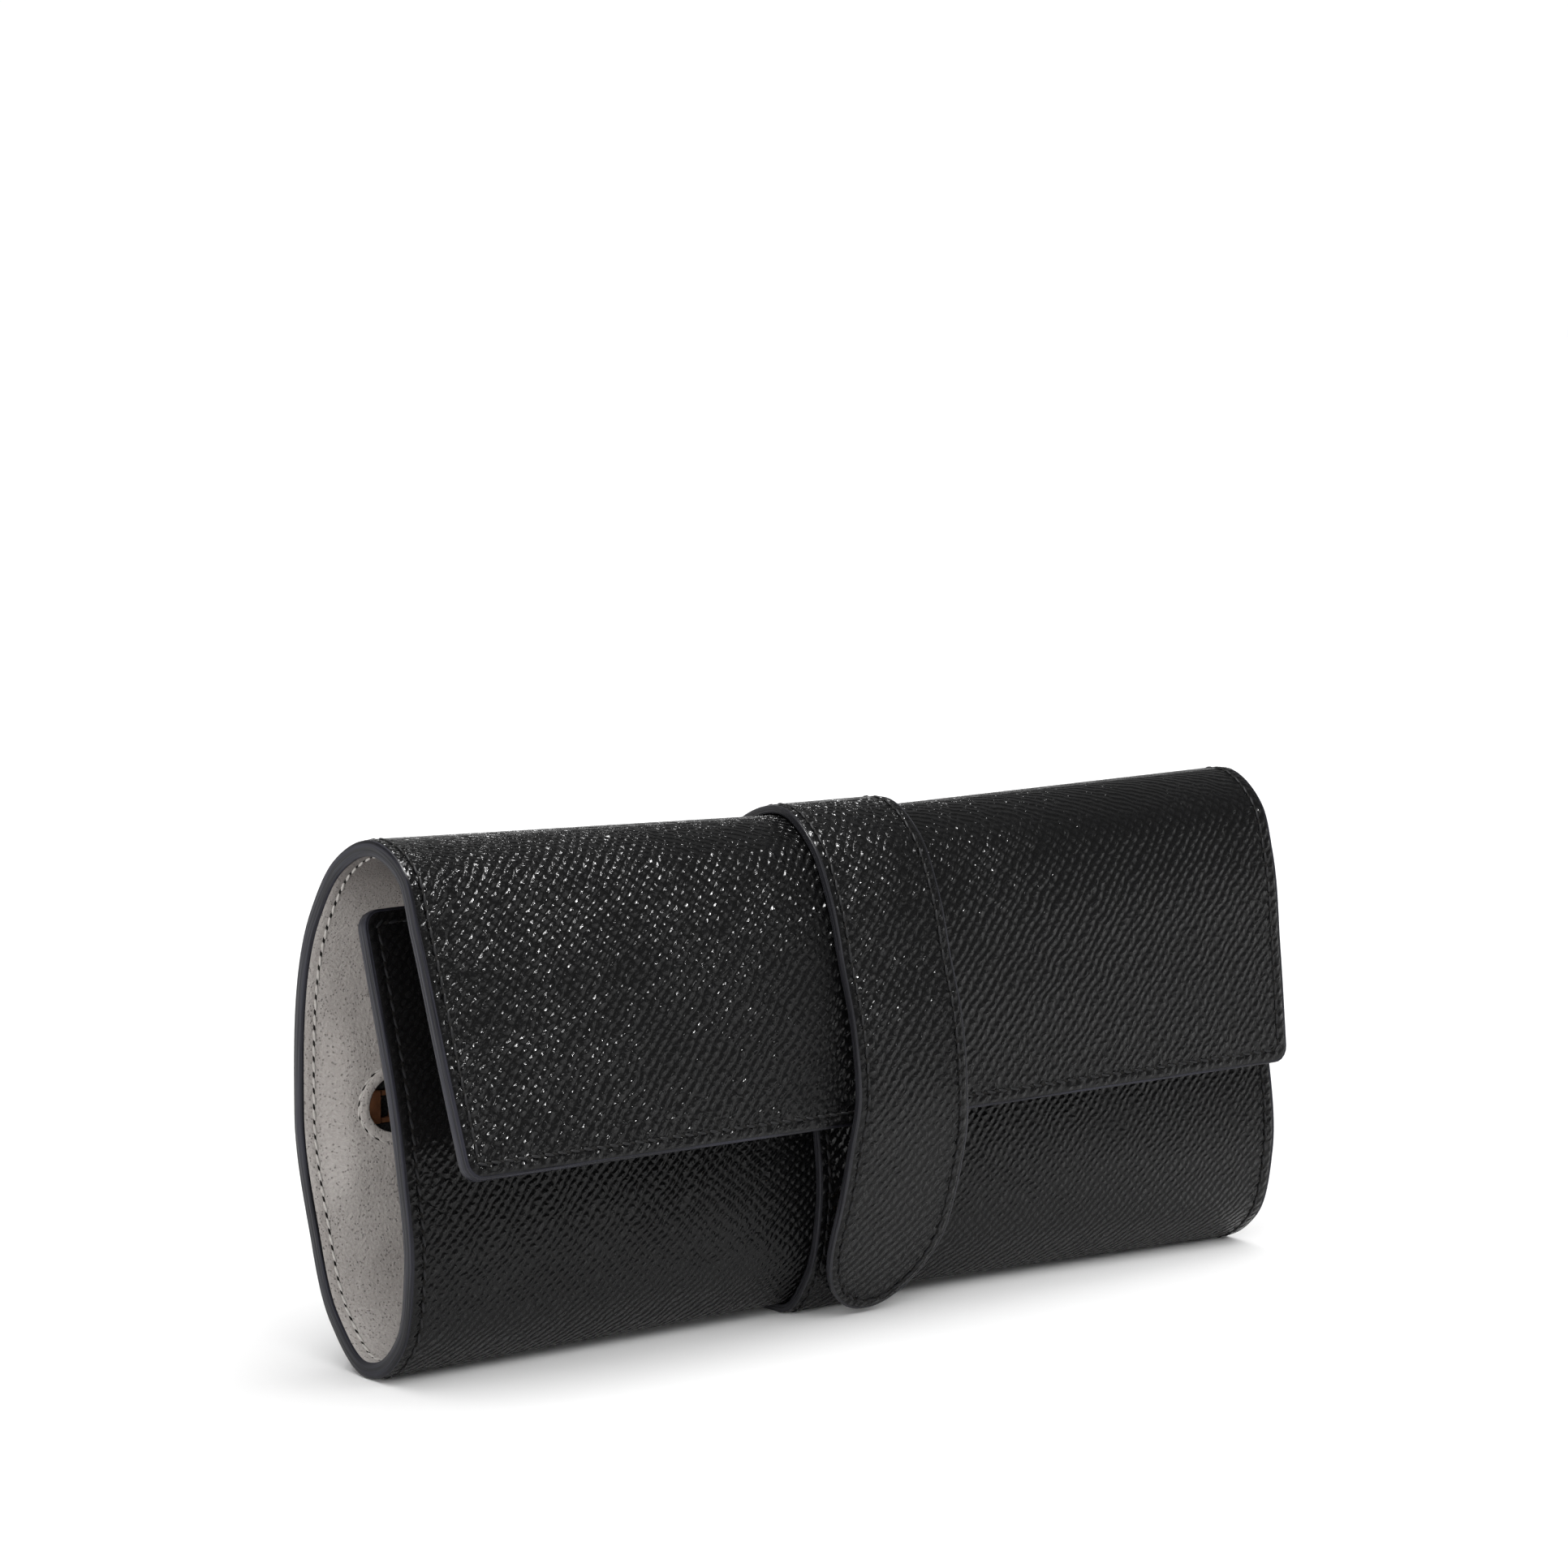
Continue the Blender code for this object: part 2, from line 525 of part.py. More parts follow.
def build_pull():
    """The pull, whose crossbar turns under the slider's bridge, on a pivot of its own."""
    bar = PULL_T / 2
    end = PULL_W / 2
    tip = end - PULL_L
    loop = end - PULL_ARM
    far = -(BRIDGE_L / 2 + 2 * SEAT)
    outlines = {
        "zip_pull": arc(tip, 0, end, pi / 2, pi) + [(bar, -end), (bar, end)],
        "loop_cutter": [(far, -loop), (-bar, -loop), (-bar, loop), (far, loop)],
        "hole_cutter": arc(tip, 0, PULL_HOLE_R, 0, 2 * pi, 2 * ROUND_STEPS)[:-1],
    }
    low, high = BACK_Y - PULL_IN - PULL_T, BACK_Y - PULL_IN
    over = {"zip_pull": 0, "loop_cutter": PULL_T, "hole_cutter": PULL_T}
    pull, loop_cut, hole_cut = (
        prism(name, "brass", outline, lambda u, v, y: (PARK_X + u, y, ZIP_Z + v),
              low - over[name], high + over[name])
        for name, outline in outlines.items())
    boolean(pull, loop_cut, "DIFFERENCE")
    boolean(pull, hole_cut, "DIFFERENCE")
    pivot = empty("pull_pivot", (PARK_X, (low + high) / 2, ZIP_Z))
    carry(pivot, pull)
    return pivot


def at_height(path, height):
    """Distance along a path to its point at a height."""
    return path.reach(lambda point: abs(point[1] - height))


def nearest(path, target):
    """Distance along a path to its point nearest to a point in the world."""
    goal = np.array([BACK_Y - target.y, target.z])
    return path.reach(lambda point: float(np.linalg.norm(point - goal)))


def tongue_root():
    """Distance along the flap to where the tongue leaves it."""
    flap = PATHS["flap"](0)
    return at_height(flap, TONGUE_FROM * HEIGHT)


def tongue_path(x=0.0):
    """The tongue's outer face, from its tip up to where it leaves the flap."""
    point, outward = PATHS["flap"](0).at(tongue_root())
    points = [(q * DEPTH, z * HEIGHT) for q, z in TONGUE_SECTION] + [tuple(point + outward * STACK)]
    return Path(curve(points, {len(points) - 1: (-outward[1], outward[0])}), gaps=(0, SEAT / 2))


def build_strap():
    """The strap that is sewn to the back and the flap, the free tongue, the band and the press stud."""
    half = STRAP_W / 2
    count = PANEL_STEPS["back"]
    rows = [(k / count, 0, half) for k in range(count + 1)]
    PIECES["back"].append(sheet("strap_back", "black", PATHS["back"], rows, (-1, 1), -STACK, STRAP_T))
    flap = PATHS["flap"](0)
    start = tongue_root() + SEAT / 2
    rows = [(0, start + (flap.length - start) * k / FREE_STEPS, half) for k in range(FREE_STEPS + 1)]
    PIECES["flap"].append(sheet("strap_flap", "black", PATHS["flap"], rows, (-1, 1), -STACK, STRAP_T))
    leaf = PATHS["leaf"](0)
    corners = corner_rows(BAND_CORNER_R)
    rows = [(0, (BAND_RISE - BAND_CORNER_R) * k / FREE_STEPS, half) for k in range(FREE_STEPS)]
    rows += [(0, BAND_RISE - s, half - trim) for s, trim in reversed(corners)]
    PIECES["leaf"].append(sheet("band_leaf", "black", PATHS["leaf"], rows, (-1, 1), -STACK, STRAP_T))
    path = tongue_path()
    blunt = radians(TONGUE_BLUNT)
    tip = arc(0, 0, 1, blunt, pi / 2 - blunt)
    rows = [(0, TONGUE_TIP * (cos(blunt) - u), TONGUE_W / 2 * v) for u, v in tip]
    low, high = TONGUE_FLARE
    start = rows[-1][1]
    rows += [(0, start + (low - start) * k / SLOPE_STEPS, TONGUE_W / 2) for k in range(1, SLOPE_STEPS + 1)]
    rows += [(0, high + (path.length - high) * k / FREE_STEPS, half) for k in range(FREE_STEPS + 1)]
    columns = (-1, 0, 1)
    leather = sheet("tongue_leather", "black", tongue_path, rows, columns, 0.0, TONGUE_LEATHER_T)
    lining = sheet("tongue_lining", "black", tongue_path, rows, columns, TONGUE_LEATHER_T + SEAT,
                   STRAP_T - TONGUE_LEATHER_T - SEAT)
    seat = frame_on(0, path, SNAP_UP, STRAP_T + SEAT)
    hole = SNAP_POST_R + 2 * SEAT
    socket = turned("snap_socket", "brass", [
        (0, 0), (SNAP_R, 0), (SNAP_R, -SOCKET_T), (hole, -SOCKET_T),
        (hole, SNAP_HOLE - SOCKET_T), (0, SNAP_HOLE - SOCKET_T)], seat)
    PIECES["tongue"] = [leather, lining, socket]
    mouth = seat @ Vector((0, 0, -SOCKET_T))
    stud_at = nearest(leaf, mouth)
    seat = frame_on(0, leaf, stud_at, -STACK - SEAT)
    top = (mouth - seat.translation).length + SNAP_HOLE - 2 * SEAT
    PIECES["leaf"].append(turned("snap_stud", "brass", [
        (0, 0), (SNAP_R, 0), (SNAP_R, SNAP_BASE_T), (SNAP_POST_R, SNAP_BASE_T),
        (SNAP_POST_R, top), (0, top)], seat))


def build_ring_bar():
    """A stuffed bar for rings along the leaf's lining: sewn at one end and snapped at the other."""
    hinge_x = LENGTH / 2 - BAR_IN + BAR_HINGE_RUN
    inside = SHEET_T + SEAT
    low, high = (place(x, PATHS["leaf"](x), BAR_UP, inside + BAR_LIFT) for x in (-hinge_x, hinge_x))
    along = (high - low).normalized()
    outward = frame_on(0, PATHS["leaf"](0), BAR_UP, 0).col[2].to_3d()
    up = (-outward - along * along.dot(-outward)).normalized()
    frame = Matrix((along, up.cross(along), up)).transposed().to_4x4()
    frame.translation = (low + high) / 2
    reach = (high - low).length / 2
    tube_end = reach - BAR_HINGE_RUN
    hole = BAR_R - BAR_SLEEVE_T
    lie = Matrix.Translation((0, 0, BAR_R)) @ Matrix.Rotation(pi / 2, 4, "Y")
    sleeve = turned("ring_bar_sleeve", "grey", [
        (hole, -tube_end), (BAR_R, -tube_end), (BAR_R, tube_end), (hole, tube_end), (hole, -tube_end)],
        frame @ lie, SLEEVE_SEGMENTS)
    core = tube_end - BAR_CORE_IN
    stuffing = turned("ring_bar_core", "foam", [
        (0, -core), (hole - SEAT, -core), (hole - SEAT, core), (0, core)], frame @ lie, SLEEVE_SEGMENTS)
    far = reach + TAB_L
    width = TAB_W / 2
    for name, x_low, x_high in (("sewn_tab_guide", tube_end - TAB_ROOT, reach - SEAT / 2),
                                ("snap_tab_guide", -far, TAB_ROOT - tube_end)):
        tab = block(name, "grey", (x_low, -width, 0), (x_high, width, TAB_T))
        tab.matrix_basis = frame
        boolean(sleeve, tab, "UNION")
    snap_x = -far + TAB_W / 2
    post_hole = BAR_POST_R + 2 * SEAT
    spot = frame @ Matrix.Translation((snap_x, 0, 0))
    punch = turned("tab_hole_cutter", "grey", [(0, -TAB_T), (post_hole, -TAB_T), (post_hole, 2 * TAB_T),
                                               (0, 2 * TAB_T)], spot)
    boolean(sleeve, punch, "DIFFERENCE")
    cap_at = frame @ Matrix.Translation((snap_x, 0, TAB_T + SEAT))
    cap = turned("ring_bar_cap", "brass", [
        (post_hole, 0), (BAR_SNAP_R, 0), (BAR_SNAP_R, BAR_CAP_RIM_T), (BAR_CAP_TOP_R, BAR_SNAP_T),
        (0, BAR_SNAP_T), (0, BAR_CAP_RIM_T), (post_hole, BAR_CAP_RIM_T), (post_hole, 0)], cap_at)
    PIECES["ring_bar"] = [sleeve, stuffing, cap]
    base = spot @ Matrix.Translation((0, 0, -BAR_LIFT))
    PIECES["leaf"].append(turned("ring_bar_stud", "brass", [
        (0, 0), (BAR_SNAP_R, 0), (BAR_SNAP_R, BAR_LIFT - SEAT), (BAR_POST_R, BAR_LIFT - SEAT),
        (BAR_POST_R, BAR_POST_H + BAR_LIFT), (0, BAR_POST_H + BAR_LIFT)], base))
    hinge = frame @ Vector((reach, 0, TAB_T))
    rows = [(0, BAR_UP + TAB_W * (k / 2 - 0.5), TAB_L / 2) for k in range(3)]
    middle = hinge.x + SEAT / 2 + TAB_L / 2
    PIECES["leaf"].append(sheet("ring_bar_anchor", "grey", PATHS["leaf"], rows, (-1, 1), inside, TAB_T,
                                middle))
    pivot = empty("ring_bar_pivot", hinge)
    carry(pivot, *PIECES["ring_bar"])
    return pivot


PATHS = {panel: (lambda x, panel=panel: panel_path(panel, x)) for panel in PANELS}
PIECES = {body: [] for body in ("back", "flap", "leaf", "tongue", "ring_bar")}

build_sheets()
build_pocket()
build_slider()
build_pull()
build_strap()
bar_pivot = build_ring_bar()
tongue_pivot = empty("tongue_pivot", place(0, PATHS["flap"](0), tongue_root(), -STACK))
carry(tongue_pivot, *PIECES["tongue"])

# The moving panels hang on pivots that lie on their folds, with what each of them carries
carry(empty("flap_pivot", (0, BACK_Y - TOP_FOLD * DEPTH, HEIGHT)), *PIECES["flap"], tongue_pivot)
carry(empty("leaf_pivot", (0, BACK_Y - BOTTOM_FOLD * DEPTH, 0)), *PIECES["leaf"], bar_pivot)
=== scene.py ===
# A black cross-grained leather jewelry roll, closed with a strap, on a white studio floor.
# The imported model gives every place; this file dresses it with leather, thread, edge paint and brass.
import bpy
import bmesh
import json
import numpy as np
from functools import lru_cache
from math import cos, exp, hypot, pi, radians, sin, sqrt, tau
from mathutils import Matrix, Vector

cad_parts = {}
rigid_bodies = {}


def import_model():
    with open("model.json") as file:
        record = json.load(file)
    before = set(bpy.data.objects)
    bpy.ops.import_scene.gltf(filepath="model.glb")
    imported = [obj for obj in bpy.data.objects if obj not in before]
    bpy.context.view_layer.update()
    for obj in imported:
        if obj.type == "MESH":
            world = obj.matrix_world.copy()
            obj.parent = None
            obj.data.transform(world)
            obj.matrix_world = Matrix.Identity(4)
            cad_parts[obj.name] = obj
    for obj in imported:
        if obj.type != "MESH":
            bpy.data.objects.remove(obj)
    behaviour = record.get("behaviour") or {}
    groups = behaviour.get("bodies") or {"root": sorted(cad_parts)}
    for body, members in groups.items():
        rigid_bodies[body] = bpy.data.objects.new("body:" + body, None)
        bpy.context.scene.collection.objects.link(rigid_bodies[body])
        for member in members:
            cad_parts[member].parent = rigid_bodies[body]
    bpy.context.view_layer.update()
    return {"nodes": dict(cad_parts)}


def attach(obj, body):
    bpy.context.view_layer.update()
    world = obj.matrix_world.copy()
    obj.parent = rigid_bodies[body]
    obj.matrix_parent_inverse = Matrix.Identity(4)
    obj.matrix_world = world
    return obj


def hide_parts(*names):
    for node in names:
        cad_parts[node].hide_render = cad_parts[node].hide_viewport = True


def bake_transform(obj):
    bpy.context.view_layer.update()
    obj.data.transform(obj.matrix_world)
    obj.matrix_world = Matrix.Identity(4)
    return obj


for old in list(bpy.data.objects):
    bpy.data.objects.remove(old, do_unlink=True)
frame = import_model()


# The studio
# The roll stands on a white floor that runs out to a white horizon. A very wide soft light hangs
# overhead, a weaker one at the left reaches the lining, a small lamp above the left end and a soft one
# behind light up the grain, and the room above the horizon is dim, which keeps the leather black.
MM = 0.001
CAMERA_TARGET = Vector((-11.285, 0.85, 101.854)) * MM
CAMERA_AZIMUTH = radians(-37.5)
CAMERA_ELEVATION = radians(6.167)
CAMERA_DISTANCE = 817.0 * MM
CAMERA_LENS = 98.94
CAMERA_SENSOR = 36
CAMERA_NEAR = 0.01
CAMERA_FAR = 100
FLOOR_REACH = 30.0
FLOOR_GREY = 0.93
FLOOR_ROUGH = 0.9
# Strength, width of the source, the way to it, and whether it shows in gloss alone or never in gloss.
SOFT_LIGHTS = {
    "overhead": (3.45, radians(100), (0.17, -0.24, 0.95), False),
    "left_side": (1.65, radians(40), (-0.80, -0.55, 0.20), False),
    "behind": (0.35, radians(32), (0.10, 0.85, 0.50), True),
}
LAMP_PLACE = Vector((-60, -80, 480)) * MM
LAMP_AIM = Vector((0, 0, 60 * MM))
LAMP_R = 30 * MM
LAMP_POWER = 3.6
HORIZON_WHITE = 1.02
HORIZON_TOP = 0.09           # up to this height, as a share of the sky's ball, the room is white
ROOM_FROM = 0.18             # and from this height on it is grey
ROOM_GREY = 0.24

bpy.context.scene.view_settings.view_transform = "Standard"

lens = bpy.data.cameras.new("camera")
lens.lens = CAMERA_LENS
lens.sensor_width = CAMERA_SENSOR
lens.clip_start = CAMERA_NEAR
lens.clip_end = CAMERA_FAR
camera = bpy.data.objects.new("camera", lens)
bpy.context.scene.collection.objects.link(camera)
toward_camera = Vector((sin(CAMERA_AZIMUTH) * cos(CAMERA_ELEVATION),
                        -cos(CAMERA_AZIMUTH) * cos(CAMERA_ELEVATION), sin(CAMERA_ELEVATION)))
camera.location = CAMERA_TARGET + toward_camera * CAMERA_DISTANCE
camera.rotation_euler = (-toward_camera).to_track_quat("-Z", "Y").to_euler()
bpy.context.scene.camera = camera

for name, (strength, width, way, in_gloss) in SOFT_LIGHTS.items():
    light = bpy.data.lights.new(name, "SUN")
    light.energy = strength
    light.angle = width
    hung = bpy.data.objects.new(name, light)
    hung.rotation_euler = Vector(way).to_track_quat("Z", "Y").to_euler()
    hung.visible_glossy = in_gloss
    hung.visible_diffuse = not in_gloss
    bpy.context.scene.collection.objects.link(hung)
light = bpy.data.lights.new("grain_lamp", "AREA")
light.shape = "DISK"
light.size = 2 * LAMP_R
light.energy = LAMP_POWER
hung = bpy.data.objects.new("grain_lamp", light)
hung.location = LAMP_PLACE
hung.visible_diffuse = False
hung.rotation_euler = (LAMP_PLACE - LAMP_AIM).to_track_quat("Z", "Y").to_euler()
bpy.context.scene.collection.objects.link(hung)

room = bpy.data.worlds.new("room")
room.use_nodes = True
bpy.context.scene.world = room
tree = room.node_tree
looking = tree.nodes.new("ShaderNodeTexCoord")
height = tree.nodes.new("ShaderNodeSeparateXYZ")
fade = tree.nodes.new("ShaderNodeMapRange")
fade.inputs["From Min"].default_value = HORIZON_TOP
fade.inputs["From Max"].default_value = ROOM_FROM
fade.inputs["To Min"].default_value = HORIZON_WHITE
fade.inputs["To Max"].default_value = ROOM_GREY
fade.interpolation_type = "SMOOTHSTEP"
tree.links.new(looking.outputs["Generated"], height.inputs[0])
tree.links.new(height.outputs["Z"], fade.inputs["Value"])
tree.links.new(fade.outputs["Result"], tree.nodes["Background"].inputs["Strength"])
tree.nodes["Background"].inputs["Color"].default_value = (1, 1, 1, 1)

bm = bmesh.new()
bmesh.ops.create_grid(bm, x_segments=1, y_segments=1, size=FLOOR_REACH)
floor_mesh = bpy.data.meshes.new("floor")
bm.to_mesh(floor_mesh)
bm.free()
paper = bpy.data.materials.new("white_paper")
paper.use_nodes = True
sockets = paper.node_tree.nodes["Principled BSDF"].inputs
sockets["Base Color"].default_value = (*[FLOOR_GREY] * 3, 1)
sockets["Roughness"].default_value = FLOOR_ROUGH
sockets["Specular IOR Level"].default_value = 0.0
floor_mesh.materials.append(paper)
floor = bpy.data.objects.new("floor", floor_mesh)
bpy.context.scene.collection.objects.link(floor)


# The cover
# Two pieces of black cross-grained leather make the outside: one is the flap and the back, and one the
# leaf. Each is laid on the closed roll's section, its sewn edges are rolled down a little, and a seam
# line is pressed in beside them. The section has the same points as the solids.
LENGTH = 207.0 * MM
HEIGHT = 98.0 * MM
DEPTH = 58.9 * MM
SEAT = 0.3 * MM
COVER_T = 1.1 * MM
BOARD_T = 0.6 * MM
LINING_T = 0.8 * MM
STRAP_W = 26.4 * MM
STRAP_T = 1.7 * MM
CORNER_R = 3.0 * MM
STACK = SEAT + STRAP_T
SHEET_T = COVER_T + BOARD_T + LINING_T + 2 * SEAT
BACK_Y = (DEPTH - STACK) / 2
TOP_FOLD = 0.467             # the folds' places, as shares of the depth in front of the back
BOTTOM_FOLD = 0.480
ZIP_AT = 0.460               # the zip's height, as a share of the roll's
DIP = STACK / HEIGHT         # at the folds the strap draws the cover in by its own thickness
# Shares of the depth and the height, at the left end, in the middle and at the right end.
SECTION = {
    "flap_edge": ((1.000, 0.428), (0.832, 0.403), (0.796, 0.403)),
    "flap_middle": ((0.866, 0.633), (0.805, 0.633), (0.757, 0.633)),
    "flap_upper": ((0.730, 0.848), (0.716, 0.837), (0.711, 0.837)),
    "flap_shoulder": ((0.655, 0.952), (0.642, 0.918), (0.655, 0.932)),
    "top_fold": ((TOP_FOLD, 1.000), (TOP_FOLD, 1 - DIP), (TOP_FOLD, 1.000)),
    "crown_back": ((0.250, 0.950), (0.250, 0.933), (0.250, 0.950)),
    "back_upper": ((0.115, 0.851), (0.112, 0.841), (0.109, 0.851)),
    "back_middle": ((0.000, ZIP_AT), (0.000, ZIP_AT), (0.000, ZIP_AT)),
    "back_lower": ((0.077, 0.251), (0.065, 0.251), (0.065, 0.251)),
    "heel": ((0.200, 0.082), (0.180, 0.092), (0.175, 0.079)),
    "bottom_back": ((0.405, 0.000), (0.310, DIP), (0.310, 0.000)),
    "bottom_fold": ((BOTTOM_FOLD, 0.0075), (BOTTOM_FOLD, DIP), (BOTTOM_FOLD, 0.000)),
    "toe": ((0.625, 0.078), (0.605, 0.092), (0.655, 0.060)),
    "leaf_bulge": ((0.679, 0.215), (0.667, 0.224), (0.730, 0.204)),
    "leaf_middle": ((0.634, 0.429), (0.640, 0.429), (0.700, 0.418)),
    "leaf_edge": ((0.425, 0.866), (0.425, 0.888), (0.430, 0.888)),
}
NAMES = list(SECTION)
# Directions in which the section runs at some of its points, at the same three places.
HEADINGS = {
    "top_fold": ((-1, 0), (-1, 0), (-1, 0)),
    "back_middle": ((0, -1), (0, -1), (0, -1)),
    "bottom_back": ((1, 0), (1, 0), (1, 0)),
    "bottom_fold": ((0.958, 0.287), (1, 0), (1, 0)),
}
CURVE_STEPS = 24             # steps of the curve from one named point to the next
EDGE_ROLL = 0.35 * MM        # how far a sewn edge is rolled down
EDGE_ROLL_W = 1.3 * MM
SEAM_IN = 2.4 * MM           # the seam's distance from the edge
SEAM_DIP = 0.16 * MM
SEAM_W = 0.55 * MM
# Distances from a sewn edge, in mm, where the mesh is fine.
SEAM_PLACES = (0, 0.3, 0.65, 1.0, 1.35, 1.7, 2.05, 2.4, 2.75, 3.1, 4.2)
MESH_ALONG = 3.0 * MM        # spacing of the sheets' mesh along the roll, and round it
MESH_ROUND = 1.6 * MM
CORNER_STEPS = 6             # rows of the mesh in a rounded corner
PAINT_BULGE = 0.30 * MM      # the painted edge stands this far outside the leather
HALF = LENGTH / 2 - PAINT_BULGE
SHARP = 0.9                  # edges that turn by more than this angle stay sharp
ROW_TURN = radians(-44)      # how far the grain's rows, the gaps between their beads and the ridges at the
BEAD_TURN = radians(48)      # fold are turned on the leather
RIDGE_TURN = radians(64)
ROW_PITCH = 1.75 * MM
BEAD_PITCH = 1.95 * MM
LEAF_ROW_PITCH = 1.45 * MM
LEAF_BEAD_PITCH = 1.75 * MM
RIDGE_PITCH = 1.25 * MM
GRAIN_RELIEF = 0.36 * MM
GRAIN_WANDER = 2.0 * MM      # how far the rows stray from straight
FOLD_ZONE = (9 * MM, 20 * MM)       # from the fold, where its ridges turn into rows
FOLD_RAGGED = 16 * MM
CRUSH_ZONE = (2.0 * MM, 16.0 * MM)  # from a sewn edge, where its crushed grain turns into beads
BARE_EDGE = (0.3 * MM, 1.4 * MM)    # from a sewn edge, where the relief sets in
CALM_ZONE = (-0.3 * LENGTH, LENGTH / 2)  # along the roll, where the relief gets flatter
CALM = 0.62
LEAF_SMOOTH = 50 * MM        # the leaf's leather is smooth for this length inside the roll
SMOOTHNESS = 0.22            # the relief left there
DYE = (0.0020, 0.0045)       # in the hollows, and on the beads
GLAZE = (0.32, 0.20)         # roughness in the hollows, and on the beads
GLOSS = 0.20


def smooth_curve(points, headings):
    """A smooth curve through points; headings fixes its direction at some of them."""
    chords = np.linalg.norm(np.diff(points, axis=0), axis=1)
    slopes = np.diff(points, axis=0) / chords[:, None]
    tangents = np.empty_like(points)
    tangents[0], tangents[-1] = slopes[0], slopes[-1]
    before, after = chords[:-1, None], chords[1:, None]
    tangents[1:-1] = (slopes[:-1] * after + slopes[1:] * before) / (before + after)
    for i, heading in headings.items():
        tangents[i] = heading
    t = np.linspace(0, 1, CURVE_STEPS + 1)[1:, None]
    parts = [points[:1]]
    for i, chord in enumerate(chords):
        parts.append((2 * t**3 - 3 * t**2 + 1) * points[i] + (t**3 - 2 * t**2 + t) * chord * tangents[i]
                     + (3 * t**2 - 2 * t**3) * points[i + 1] + (t**3 - t**2) * chord * tangents[i + 1])
    return np.vstack(parts)


class Course:
    """A stretch of the section, with its outer side on the right as it runs."""

    def __init__(self, points, first=0, last=-1):
        self.points = points
        self.along = np.concatenate([[0], np.cumsum(np.linalg.norm(np.diff(points, axis=0), axis=1))])
        headings = np.gradient(points, self.along, axis=0, edge_order=2)
        self.headings = headings / np.linalg.norm(headings, axis=1)[:, None]
        self.start = self.along[first]
        self.length = self.along[last] - self.start

    def at(self, distance):
        """Point (forward of the back, height) and outward direction; it runs straight on past its ends."""
        spot = self.start + min(max(distance, 0.0), self.length)
        point = np.array([np.interp(spot, self.along, self.points[:, k]) for k in (0, 1)])
        heading = np.array([np.interp(spot, self.along, self.headings[:, k]) for k in (0, 1)])
        heading /= np.hypot(*heading)
        point = point + heading * (self.start + distance - spot)
        return point, np.array([heading[1], -heading[0]])


@lru_cache(maxsize=None)
def section_at(x):
    """The cover's outer face in section at x."""
    flat = STRAP_W / 2
    share = max(0.0, abs(x) - flat) / (LENGTH / 2 - flat)
    end = 0 if x < 0 else 2

    def between(places):
        return (1 - share) * np.array(places[1]) + share * np.array(places[end])

    points = np.array([between(places) * (DEPTH, HEIGHT) for places in SECTION.values()])
    return smooth_curve(points, {NAMES.index(n): between(places) for n, places in HEADINGS.items()})


@lru_cache(maxsize=None)
def stretch(first, last, x):
    """The stretch of the section between two named points at x."""
    return Course(section_at(x), NAMES.index(first) * CURVE_STEPS, NAMES.index(last) * CURVE_STEPS)


def wrap(x):
    """The flap and the back as one stretch, from the flap's edge."""
    return stretch("flap_edge", "bottom_fold", round(x, 6))


def leaf(x):
    """The leaf, from the bottom fold up to its edge inside the roll."""
    return stretch("bottom_fold", "leaf_edge", round(x, 6))


def lying_on(course_at, distance_of):
    """How a cut piece lies: gives the world point for x, the length from its free end, and a depth."""
    def spot(x, free, sunk):
        course = course_at(x)
        point, outward = course.at(distance_of(course, free))
        q, z = point - outward * sunk
        return Vector((x, BACK_Y - q, z))
    return spot


on_wrap = lying_on(wrap, lambda course, free: free)
on_leaf = lying_on(leaf, lambda course, free: course.length - free)


def edge_round(half, radius):
    """The distance to the nearest edge of a piece whose free end has two rounded corners."""
    def edge_at(x, free):
        side = half - abs(x)
        if side < radius and free < radius:
            return radius - hypot(radius - side, radius - free)
        return min(side, free)
    return edge_at


def finish_piece(name, bm, sharp=SHARP):
    """Make a bmesh into a named piece whose place is in its mesh."""
    mesh = bpy.data.meshes.new(name)
    bm.to_mesh(mesh)
    bm.free()
    mesh.shade_smooth()
    mesh.set_sharp_from_angle(angle=sharp)
    obj = bpy.data.objects.new(name, mesh)
    bpy.context.scene.collection.objects.link(obj)
    return obj


def lay_sheet(name, spot, length_at, rows, columns, outer, inner, edge_at, run=1):
    """
    A flat grid laid on the section and given its two faces. Rows are (share of the length, offset,
    half width) and columns are places from -1 to 1; outer and inner give each face's depth. The
    grain's map and the distance to the edge go with every point, and run turns the map's length.
    """
    bm = bmesh.new()
    bmesh.ops.create_grid(bm, x_segments=len(columns) - 1, y_segments=len(rows) - 1, size=1.0)
    key = bm.verts.layers.int.new("key")
    edge_layer = bm.verts.layers.float.new("edge")
    flat = []
    for vert in sorted(bm.verts, key=lambda v: (round(v.co.y, 6), v.co.x)):
        share, offset, half = rows[len(flat) // len(columns)]
        x = columns[len(flat) % len(columns)] * half
        free = share * length_at(x) + offset
        edge = max(0.0, edge_at(x, free))
        vert[key] = len(flat)
        flat.append((x, free, edge))
        vert.co = spot(x, free, outer(x, free, edge))
    under = bmesh.ops.extrude_face_region(bm, geom=bm.faces[:])["geom"]
    for vert in under:
        if isinstance(vert, bmesh.types.BMVert):
            x, free, edge = flat[vert[key]]
            vert.co = spot(x, free, inner(x, free, edge))
    grain = bm.loops.layers.uv.new("grain")
    for vert in bm.verts:
        vert[edge_layer] = flat[vert[key]][2]
    for face in bm.faces:
        for loop in face.loops:
            x, free, edge = flat[loop.vert[key]]
            loop[grain].uv = (x, free * run)
    bmesh.ops.recalc_face_normals(bm, faces=bm.faces[:])
    bm.verts.layers.int.remove(key)
    return finish_piece(name, bm)


